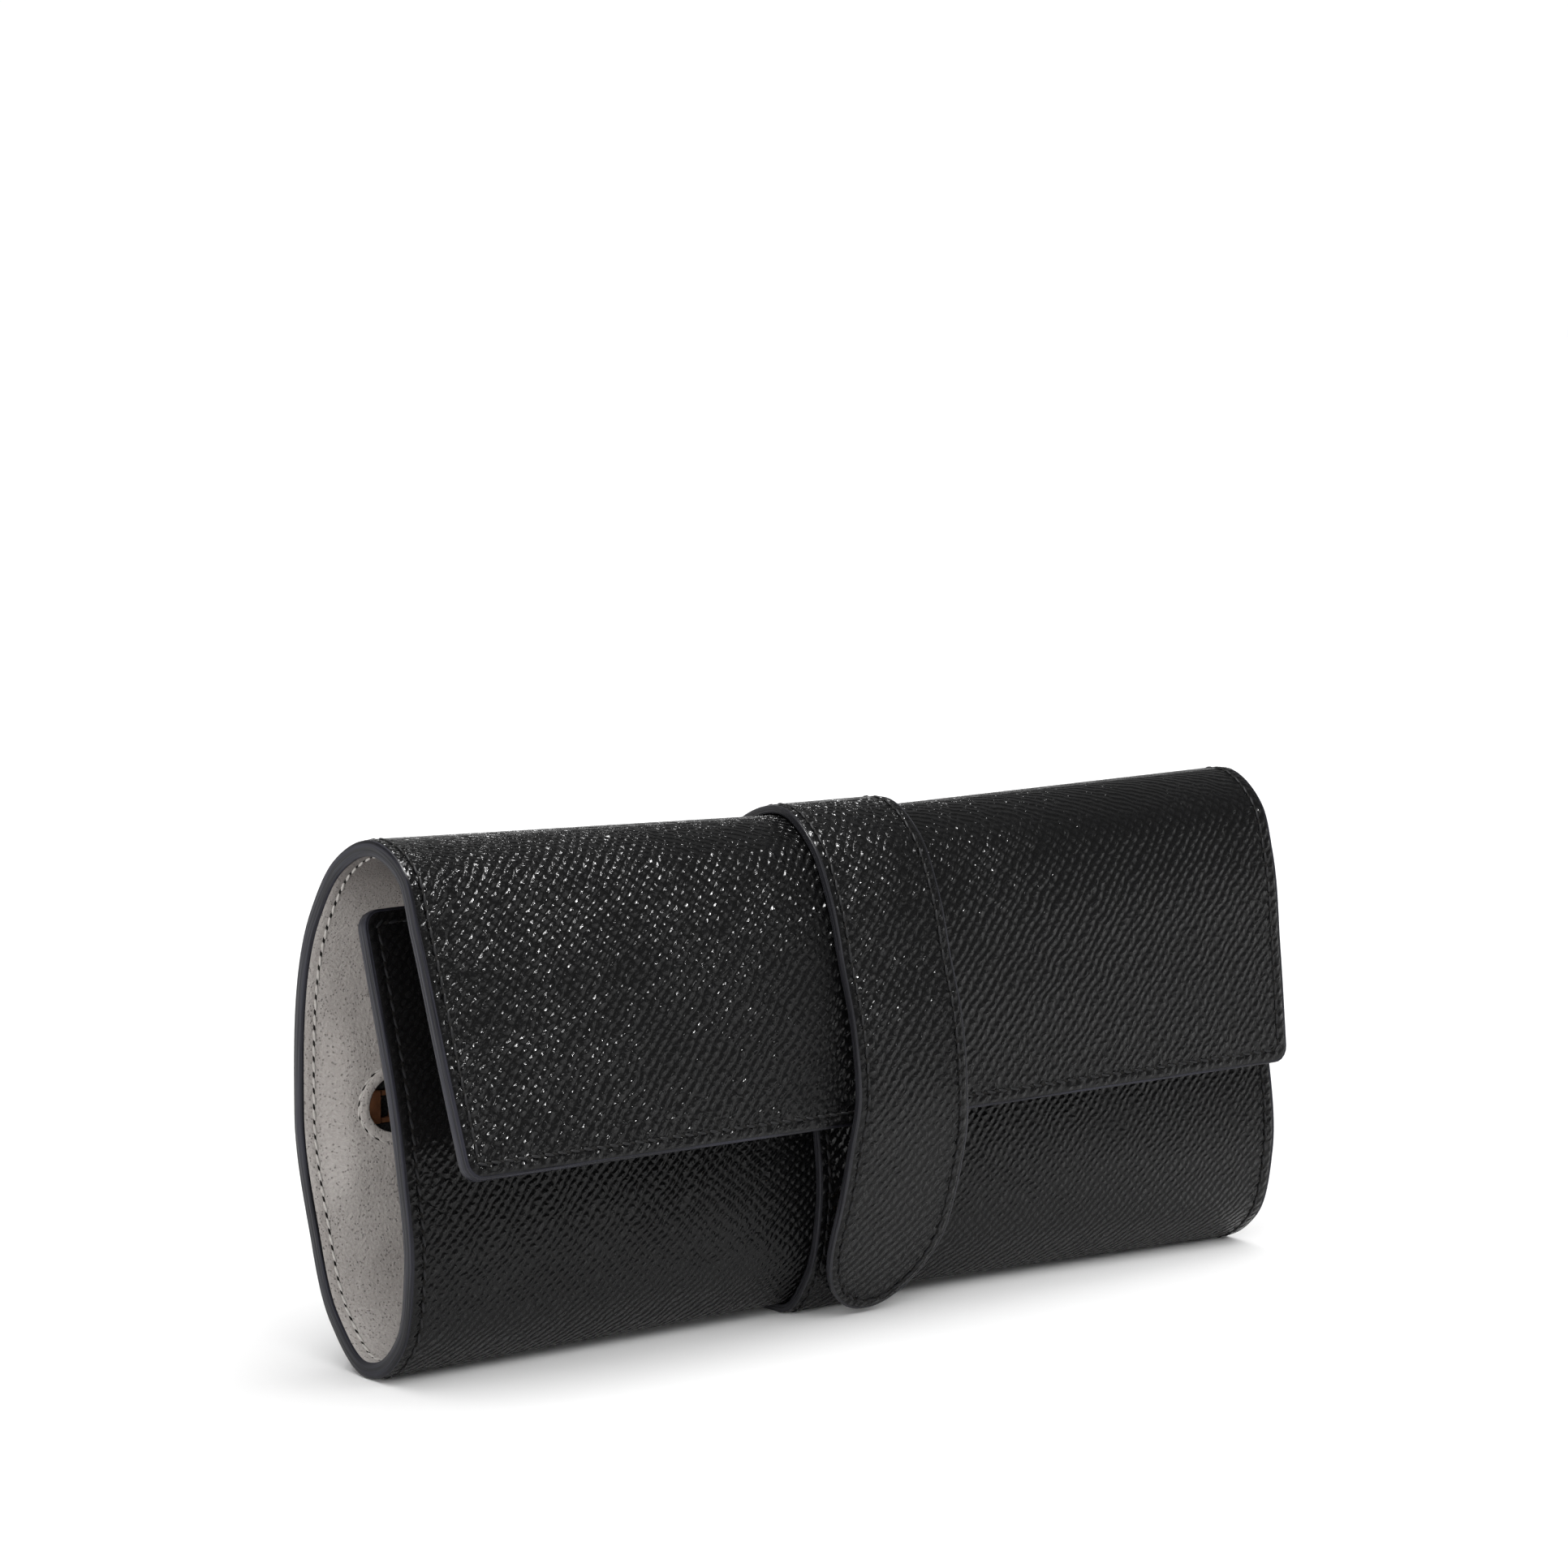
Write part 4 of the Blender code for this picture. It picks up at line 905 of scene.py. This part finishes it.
tip_turns = [TIP_BLUNT + (pi / 2 - TIP_BLUNT) * k / TIP_STEPS for k in range(TIP_STEPS + 1)]
tip_places = [TONGUE_TIP * (1 - cos(a)) for a in tip_turns]
straight_places = list(np.linspace(TONGUE_TIP, tongue_line.length, TONGUE_ROWS)[1:])
right_side = [(tongue_half(f), f) for f in tip_places + straight_places]
tongue_edge = np.array([(-x, f) for x, f in reversed(right_side)] + [(0.0, tip_places[0])] + right_side)
tongue_fine = np.array([point for point, way, out in stations(tongue_edge, 0.25 * MM)])


def edge_of_tongue(x, free):
    """The distance to the tongue's edge."""
    if free > TONGUE_TIP * 1.5:
        return tongue_half(free) - abs(x)
    return float(np.min(np.hypot(tongue_fine[:, 0] - x, tongue_fine[:, 1] - free)))


def edge_of_strap(x, free):
    """The distance to the strap's nearer side."""
    return STRAP_HALF - abs(x)


def strap_face(x, free, edge):
    """The outer face of the strap and the band, which lie on the cover."""
    return pressed(edge, STRAP_SEAM_IN) - STACK


def tongue_outside(x, free, edge):
    """The tongue's own outer face."""
    return pressed(edge, STRAP_SEAM_IN)


def tongue_inside(x, free, edge):
    """The face of the tongue's lining."""
    return STRAP_T - TONGUE_ROLLED * pressed(edge, STRAP_SEAM_IN)


strap_columns = across(STRAP_HALF, MESH_ROUND)
strap_length = wrap_length(0.0) - tongue_start
strap_run = [tongue_start + strap_length * k / STRAP_ROWS for k in range(STRAP_ROWS + 1)]
strap_wrap = lay_sheet("strap_wrap", on_wrap, wrap_length, [(0, f, STRAP_HALF) for f in strap_run],
                       strap_columns, strap_face, level_face(-SEAT), edge_of_strap)
band_rows = rows_from_free_end(STRAP_HALF, BAND_CORNER_R, BAND_RISE, MESH_ROUND)
band = lay_sheet("band", on_band, lambda x: BAND_RISE, band_rows, strap_columns, strap_face,
                 level_face(-SEAT), edge_round(STRAP_HALF, BAND_CORNER_R), run=-1)
tongue_rows = [(0, f, tongue_half(f)) for f in tip_places + straight_places]
tongue_face = lay_sheet("tongue_face", on_tongue, lambda x: tongue_line.length, tongue_rows,
                        strap_columns, tongue_outside, level_face(TONGUE_LEATHER_T), edge_of_tongue)
tongue_back = lay_sheet("tongue_back", on_tongue, lambda x: tongue_line.length, tongue_rows,
                        strap_columns, level_face(TONGUE_LEATHER_T + TONGUE_GLUE), tongue_inside,
                        edge_of_tongue)
strap_leather = cross_grain("strap_leather")
for piece in (strap_wrap, band, tongue_face, tongue_back):
    dress(piece, black_leather if piece is strap_wrap else strap_leather)
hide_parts("strap_flap", "strap_back")
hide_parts("band_leaf")
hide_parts("tongue_leather")
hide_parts("tongue_lining")

black_paint = edge_paint("black_edge_paint", *BLACK_PAINT, rough=0.26)
strap_sides = [np.array([(side * STRAP_HALF, f) for f in (strap_run if side > 0 else strap_run[::-1])])
               for side in (-1, 1)]
strap_paint = (PAINT_IN - STACK, -SEAT - STRAP_PAINT_OUT)
paint_strap = [paint_edge(f"edge_paint_strap_{name}", on_wrap, line, *strap_paint)
               for name, line in zip(("left", "right"), strap_sides)]
band_edge = outline_of(STRAP_HALF, BAND_CORNER_R, BAND_RISE, BAND_RISE)
paint_band = paint_edge("edge_paint_band", on_band, band_edge, *strap_paint)
paint_tongue = paint_edge("edge_paint_tongue", on_tongue, tongue_edge, PAINT_IN,
                          STRAP_T - TONGUE_PAINT_OUT)
for painted in (*paint_strap, paint_band, paint_tongue):
    dress(painted, black_paint)


def bend_at_tongue(piece):
    """Bake the piece's place into its mesh; the piece leaves the flap at the tongue's root."""
    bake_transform(piece)


for piece in (strap_wrap, *paint_strap):
    bend_at_top(piece)
for piece in (band, paint_band):
    bend_at_bottom(piece)
for piece in (tongue_face, tongue_back, paint_tongue):
    bend_at_tongue(piece)


# The seams
# All the edges are lockstitched at three millimetres: waxed black thread outside, and light grey thread
# inside, where each stitch dives into a needle hole; the hole's shade is painted on as a small dark matte
# lens.
STITCH_PITCH = 3.0 * MM
STITCH_L = 2.45 * MM
THREAD_R = 0.30 * MM
STITCH_SLANT = radians(9)
STITCH_SUNK = SEAM_DIP - 0.10 * MM
HOLE_SUNK = 0.06 * MM        # a needle hole lies deeper than its thread
LINING_THREAD_OUT = 0.05 * MM    # inside, the thread stands out of the lining and the holes lie in it
LINING_HOLE_IN = 0.03 * MM
BEAD = (STITCH_L / 2, THREAD_R, THREAD_R * 0.8)
HOLE = (0.85 * MM, 0.26 * MM, 0.10 * MM)     # half sizes of the dark lens of painted shade at a needle hole
SEW_STEP = 0.2 * MM          # the way along and across a seam is taken over this length
NEVER_SHARP = 3.0            # an angle that no edge reaches
BLACK_WAX = (0.008, 0.008, 0.009)
GREY_WAX = (0.42, 0.40, 0.38)
# painted shade inside a needle hole, laid on as a dark matte lens
HOLE_SHADE_TONE = (0.004, 0.0035, 0.003)


def sew(name, spot, line, inset, sunk, closed=False, bead=BEAD, holes=False):
    """A row of stitches, each a long bead of thread half pressed in, or painted shade at the needle holes
    between.
    """
    bm = bmesh.new()
    places = stations(line, STITCH_PITCH / 2, inset, closed)
    places = places[:len(places) // 2 * 2]
    for point, way, out in places[2 if holes else 1::2]:
        here = spot(*point, sunk)
        along, side = [(spot(*(point + step), sunk) - spot(*(point - step), sunk)).normalized()
                       for step in (way * SEW_STEP, out * SEW_STEP)]
        up = along.cross(side).normalized()
        along = Matrix.Rotation(STITCH_SLANT, 3, up) @ along
        side = up.cross(along)
        turn = Matrix([arm * size for arm, size in zip((along, side, up), bead)]).transposed().to_4x4()
        bmesh.ops.create_uvsphere(bm, u_segments=8, v_segments=5, radius=1.0,
                                  matrix=Matrix.Translation(here) @ turn)
    rest_on_table(bm)
    bmesh.ops.recalc_face_normals(bm, faces=bm.faces[:])
    return finish_piece(name, bm, sharp=NEVER_SHARP)


def thread(name, color, rough):
    """Twisted waxed thread, and the painted shade of its needle holes."""
    mat, node, maths, eased, drive = new_finish(name)
    twist = node("TexNoise", {"Vector": node("TexCoord").outputs["Object"], "Scale": 2200.0, "Detail": 2.0})
    tint = node("MixRGB", {0: twist.outputs["Fac"], 1: (*[c * 0.65 for c in color], 1),
                           2: (*[c * 1.25 for c in color], 1)})
    bump = node("Bump", {"Strength": 0.5, "Distance": 0.06 * MM, "Height": twist.outputs["Fac"]})
    drive(Base_Color=tint.outputs[0], Roughness=rough, Normal=bump.outputs[0], Specular_IOR_Level=0.3)
    return mat


black_thread = thread("black_thread", BLACK_WAX, 0.6)
grey_thread = thread("grey_thread", GREY_WAX, 0.6)
needle_hole_shade = thread("needle_hole_shade", HOLE_SHADE_TONE, 0.9)
seams = [
    ("seam_wrap", on_wrap, wrap_edge, SEAM_IN, STITCH_SUNK, bend_at_top),
    ("seam_leaf", on_leaf, leaf_edge, SEAM_IN, STITCH_SUNK, bend_at_bottom),
    ("seam_strap_left", on_wrap, strap_sides[0], STRAP_SEAM_IN, STITCH_SUNK - STACK, bend_at_top),
    ("seam_strap_right", on_wrap, strap_sides[1], STRAP_SEAM_IN, STITCH_SUNK - STACK, bend_at_top),
    ("seam_band", on_band, band_edge, STRAP_SEAM_IN, STITCH_SUNK - STACK, bend_at_bottom),
    ("seam_tongue", on_tongue, tongue_edge, STRAP_SEAM_IN, STITCH_SUNK, bend_at_tongue),
]
for name, spot, line, inset, sunk, bend in seams:
    bend(dress(sew(name, spot, line, inset, sunk), black_thread))
    bend(dress(sew(f"{name}_holes", spot, line, inset, sunk + HOLE_SUNK, bead=HOLE, holes=True),
               needle_hole_shade))
inner_seams = [
    ("lining_seam_wrap", on_wrap, wrap_edge, SEAM_IN, SHEET_T, False, bend_at_top),
    ("lining_seam_leaf", on_leaf, leaf_edge, SEAM_IN, SHEET_T, False, bend_at_bottom),
    ("window_seam", by_window, window_line, -RIM_W, 0.0, True, lambda piece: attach(piece, "back")),
]
for name, spot, line, inset, face, closed, bend in inner_seams:
    bend(dress(sew(name, spot, line, inset, face + LINING_THREAD_OUT, closed), grey_thread))
    bend(dress(sew(f"{name}_holes", spot, line, inset, face - LINING_HOLE_IN, closed, HOLE, holes=True),
               needle_hole_shade))


# The zip and its pocket
# A coarse metal zip closes the pocket behind the back lining: black woven tapes, two rows of bronze
# teeth crimped to their cords, a stop folded over both rows at the left and one on each row at the
# right, and a brass slider with a loose pull.
STOP_OVER = 0.15 * MM        # the folded stop stands this far outside the teeth
STOP_REACH = (0.3 * MM, 3.1 * MM)        # from the window's left end
STOP_ROUND = 0.3 * MM
CHAIN_W = 6.0 * MM
TEETH_ROUND = 0.12 * MM
SLIDER_ROUND = 0.10 * MM
TAPE_RIB = 0.9 * MM
TAPE_RELIEF = 0.10 * MM
BRONZE = ((0.38, 0.17, 0.09), (0.50, 0.235, 0.12))
BRASS = ((0.42, 0.26, 0.10), (0.62, 0.41, 0.17))
SOFT_ANGLE = radians(40)     # edges that turn by more than this are rounded


def metal(name, dark, light, rough):
    """Lacquered metal, a little uneven and worn."""
    mat, node, maths, eased, drive = new_finish(name)
    wear = node("TexNoise", {"Vector": node("TexCoord").outputs["Object"], "Scale": 700.0, "Detail": 4.0})
    tint = node("MixRGB", {0: wear.outputs["Fac"], 1: (*dark, 1), 2: (*light, 1)})
    bump = node("Bump", {"Strength": 0.2, "Distance": 0.02 * MM, "Height": wear.outputs["Fac"]})
    drive(Base_Color=tint.outputs[0], Metallic=1.0, Normal=bump.outputs[0],
          Roughness=eased(wear.outputs["Fac"], 0.3, 0.7, rough, rough + 0.14))
    return mat


def woven(name, pitch):
    """Black cloth woven in fine slanting ribs."""
    mat, node, maths, eased, drive = new_finish(name)
    x, y, z = node("SeparateXYZ", {0: node("TexCoord").outputs["Object"]}).outputs[:3]
    ribs = []
    for run in (maths("ADD", x, z), maths("SUBTRACT", x, z)):
        ribs.append(maths("SINE", maths("MULTIPLY", run, tau / pitch)))
    weave = maths("MULTIPLY_ADD", maths("MAXIMUM", ribs[0], ribs[1]), 0.5, 0.5)
    tone = eased(weave, 0.2, 1.0, 0.004, 0.013)
    bump = node("Bump", {"Strength": 0.6, "Distance": TAPE_RELIEF, "Height": weave})
    drive(Base_Color=node("CombineColor", {"Red": tone, "Green": tone, "Blue": tone}).outputs[0],
          Roughness=0.85, Normal=bump.outputs[0], Specular_IOR_Level=0.2)
    return mat


def soften(node_name, width):
    """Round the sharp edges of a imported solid."""
    rounded = frame["nodes"][node_name].modifiers.new("rounded", "BEVEL")
    rounded.width = width
    rounded.segments = 2
    rounded.limit_method = "ANGLE"
    rounded.angle_limit = SOFT_ANGLE


def soft_blocks(name, places, width):
    """Blocks with rounded edges, each given by the matrix that lays a unit cube in its place."""
    bm = bmesh.new()
    for place in places:
        bmesh.ops.create_cube(bm, size=1.0, matrix=place)
    bmesh.ops.bevel(bm, geom=bm.edges[:], offset=width, segments=3, affect="EDGES", profile=0.5,
                    material=-1)
    bmesh.ops.recalc_face_normals(bm, faces=bm.faces[:])
    return finish_piece(name, bm)


bronze = metal("zip_bronze", *BRONZE, rough=0.46)
brass = metal("brass", *BRASS, rough=0.24)
woven_tape = woven("woven_tape", TAPE_RIB)
for name in ("zip_teeth_upper", "zip_teeth_lower", "zip_stop_upper", "zip_stop_lower"):
    refinish(name, bronze)
    soften(name, TEETH_ROUND)
for name in ("zip_slider", "zip_pull"):
    refinish(name, brass)
    soften(name, SLIDER_ROUND)
for name in ("pocket_back", "zip_tape_upper", "zip_tape_lower"):
    refinish(name, woven_tape)
stop_size = Vector((STOP_REACH[1] - STOP_REACH[0], TOOTH_T + 2 * STOP_OVER, CHAIN_W + 2 * STOP_OVER))
stop_at = Vector((-LENGTH / 2 + ZIP_END + sum(STOP_REACH) / 2, BACK_Y - TOOTH_IN - TOOTH_T / 2, ZIP_Z))
stop_place = Matrix.Translation(stop_at) @ Matrix.Diagonal((*stop_size, 1))
bottom_stop = dress(soft_blocks("folded_stop", [stop_place], STOP_ROUND), bronze)
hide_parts("zip_stop_bottom")
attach(bottom_stop, "back")


# The press studs
# One closes the tongue on the band and a smaller one the ring bar: each is a turned brass stud that
# springs into a turned socket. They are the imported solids, with their sharp edges broken.
STUD_ROUND = 0.15 * MM

for name in ("snap_socket", "snap_stud", "ring_bar_cap", "ring_bar_stud"):
    refinish(name, brass)
    soften(name, STUD_ROUND)


# The ring bar
# A roll of suede stuffed firm for rings hangs along the leaf's lining. Its flat ends are sewn down at
# the right and held by a small press stud at the left.
BAR_IN = 44.5 * MM
BAR_R = 6.0 * MM
BAR_UP = 42.0 * MM
BAR_LIFT = 1.0 * MM
BAR_HINGE_RUN = 8.0 * MM
TAB_L = 14.0 * MM
TAB_W = 10.0 * MM
TAB_T = 1.1 * MM
TAB_ROOT = 1.5 * MM
TAB_ROUND = 0.3 * MM
TAB_SEAM_IN = 0.6 * MM
TAB_SEAM_LEFT = 3.2 * MM     # each seam's place outside the stuffed part
TAB_SEAM_RIGHT = 1.6 * MM
TAB_THREAD_SUNK = 0.02 * MM
BAR_RINGS = 40
BAR_SIDES = 32
# The round of its ends: the length from the end in mm, and the share of the radius there.
BAR_END = ((0.0, 0.12), (0.1, 0.55), (0.5, 0.80), (1.2, 0.92), (2.4, 0.985), (4.5, 1.0))
BAR_SWELL = (0.006, 7 * MM)  # the stuffing's unevenness: share of the radius, and its run
BAR_RIPPLE = (0.004, 2.3 * MM)

bar_reach_x = LENGTH / 2 - BAR_IN + BAR_HINGE_RUN
bar_ends = [on_leaf(x, leaf_length(x) - BAR_UP, SHEET_T + SEAT + BAR_LIFT)
            for x in (-bar_reach_x, bar_reach_x)]
bar_along = (bar_ends[1] - bar_ends[0]).normalized()
leaf_out = leaf(0.0).at(BAR_UP)[1]
bar_in = Vector((0, leaf_out[0], -leaf_out[1]))
bar_up = (bar_in - bar_along * bar_along.dot(bar_in)).normalized()
bar_frame = Matrix((bar_along, bar_up.cross(bar_along), bar_up)).transposed().to_4x4()
bar_frame.translation = (bar_ends[0] + bar_ends[1]) / 2
bar_reach = (bar_ends[1] - bar_ends[0]).length / 2
tube_end = bar_reach - BAR_HINGE_RUN
ends = [(-tube_end + d * MM, share) for d, share in BAR_END]
middle = [(x, 1.0) for x in np.linspace(ends[-1][0], -ends[-1][0], BAR_RINGS)[1:-1]]
bar_rings = []
for x, share in ends + middle + [(-x, share) for x, share in reversed(ends)]:
    uneven = 1 + BAR_SWELL[0] * sin(x / BAR_SWELL[1]) + BAR_RIPPLE[0] * sin(x / BAR_RIPPLE[1])
    radius = BAR_R * share * uneven
    turns = [tau * k / BAR_SIDES for k in range(BAR_SIDES)]
    bar_rings.append([bar_frame @ Vector((x, radius * cos(a), BAR_R + radius * sin(a))) for a in turns])
bar_suede = suede("bar_suede", mapped=False)
bar_roll = dress(tube_round("ring_bar_roll", bar_rings), bar_suede)
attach(bar_roll, "ring_bar")
tab_places = []
for low, high in ((-bar_reach - TAB_L, TAB_ROOT - tube_end), (tube_end - TAB_ROOT, bar_reach - SEAT / 2)):
    size = Matrix.Diagonal((high - low, TAB_W, TAB_T, 1))
    tab_places.append(bar_frame @ (Matrix.Translation(((low + high) / 2, 0, TAB_T / 2)) @ size))
bar_tabs = dress(soft_blocks("ring_bar_tabs", tab_places, TAB_ROUND), bar_suede)
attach(bar_tabs, "ring_bar")
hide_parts("ring_bar_sleeve")
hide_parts("ring_bar_sleeve")
for name in ("ring_bar_core", "ring_bar_anchor"):
    refinish(name, bar_suede)
soften("ring_bar_anchor", TAB_ROUND)


def on_bar(x, y, sunk):
    """A place on the inner face of the ring bar's flat ends."""
    return bar_frame @ Vector((x, y, TAB_T - sunk))


for side, x in (("left", TAB_ROOT - tube_end - TAB_SEAM_LEFT), ("right", tube_end + TAB_SEAM_RIGHT)):
    across_tab = np.array([(x, -TAB_W / 2 + TAB_SEAM_IN), (x, TAB_W / 2 - TAB_SEAM_IN)])
    tab_seam = sew(f"ring_bar_seam_{side}", on_bar, across_tab, 0.0, TAB_THREAD_SUNK)
    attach(dress(tab_seam, grey_thread), "ring_bar")
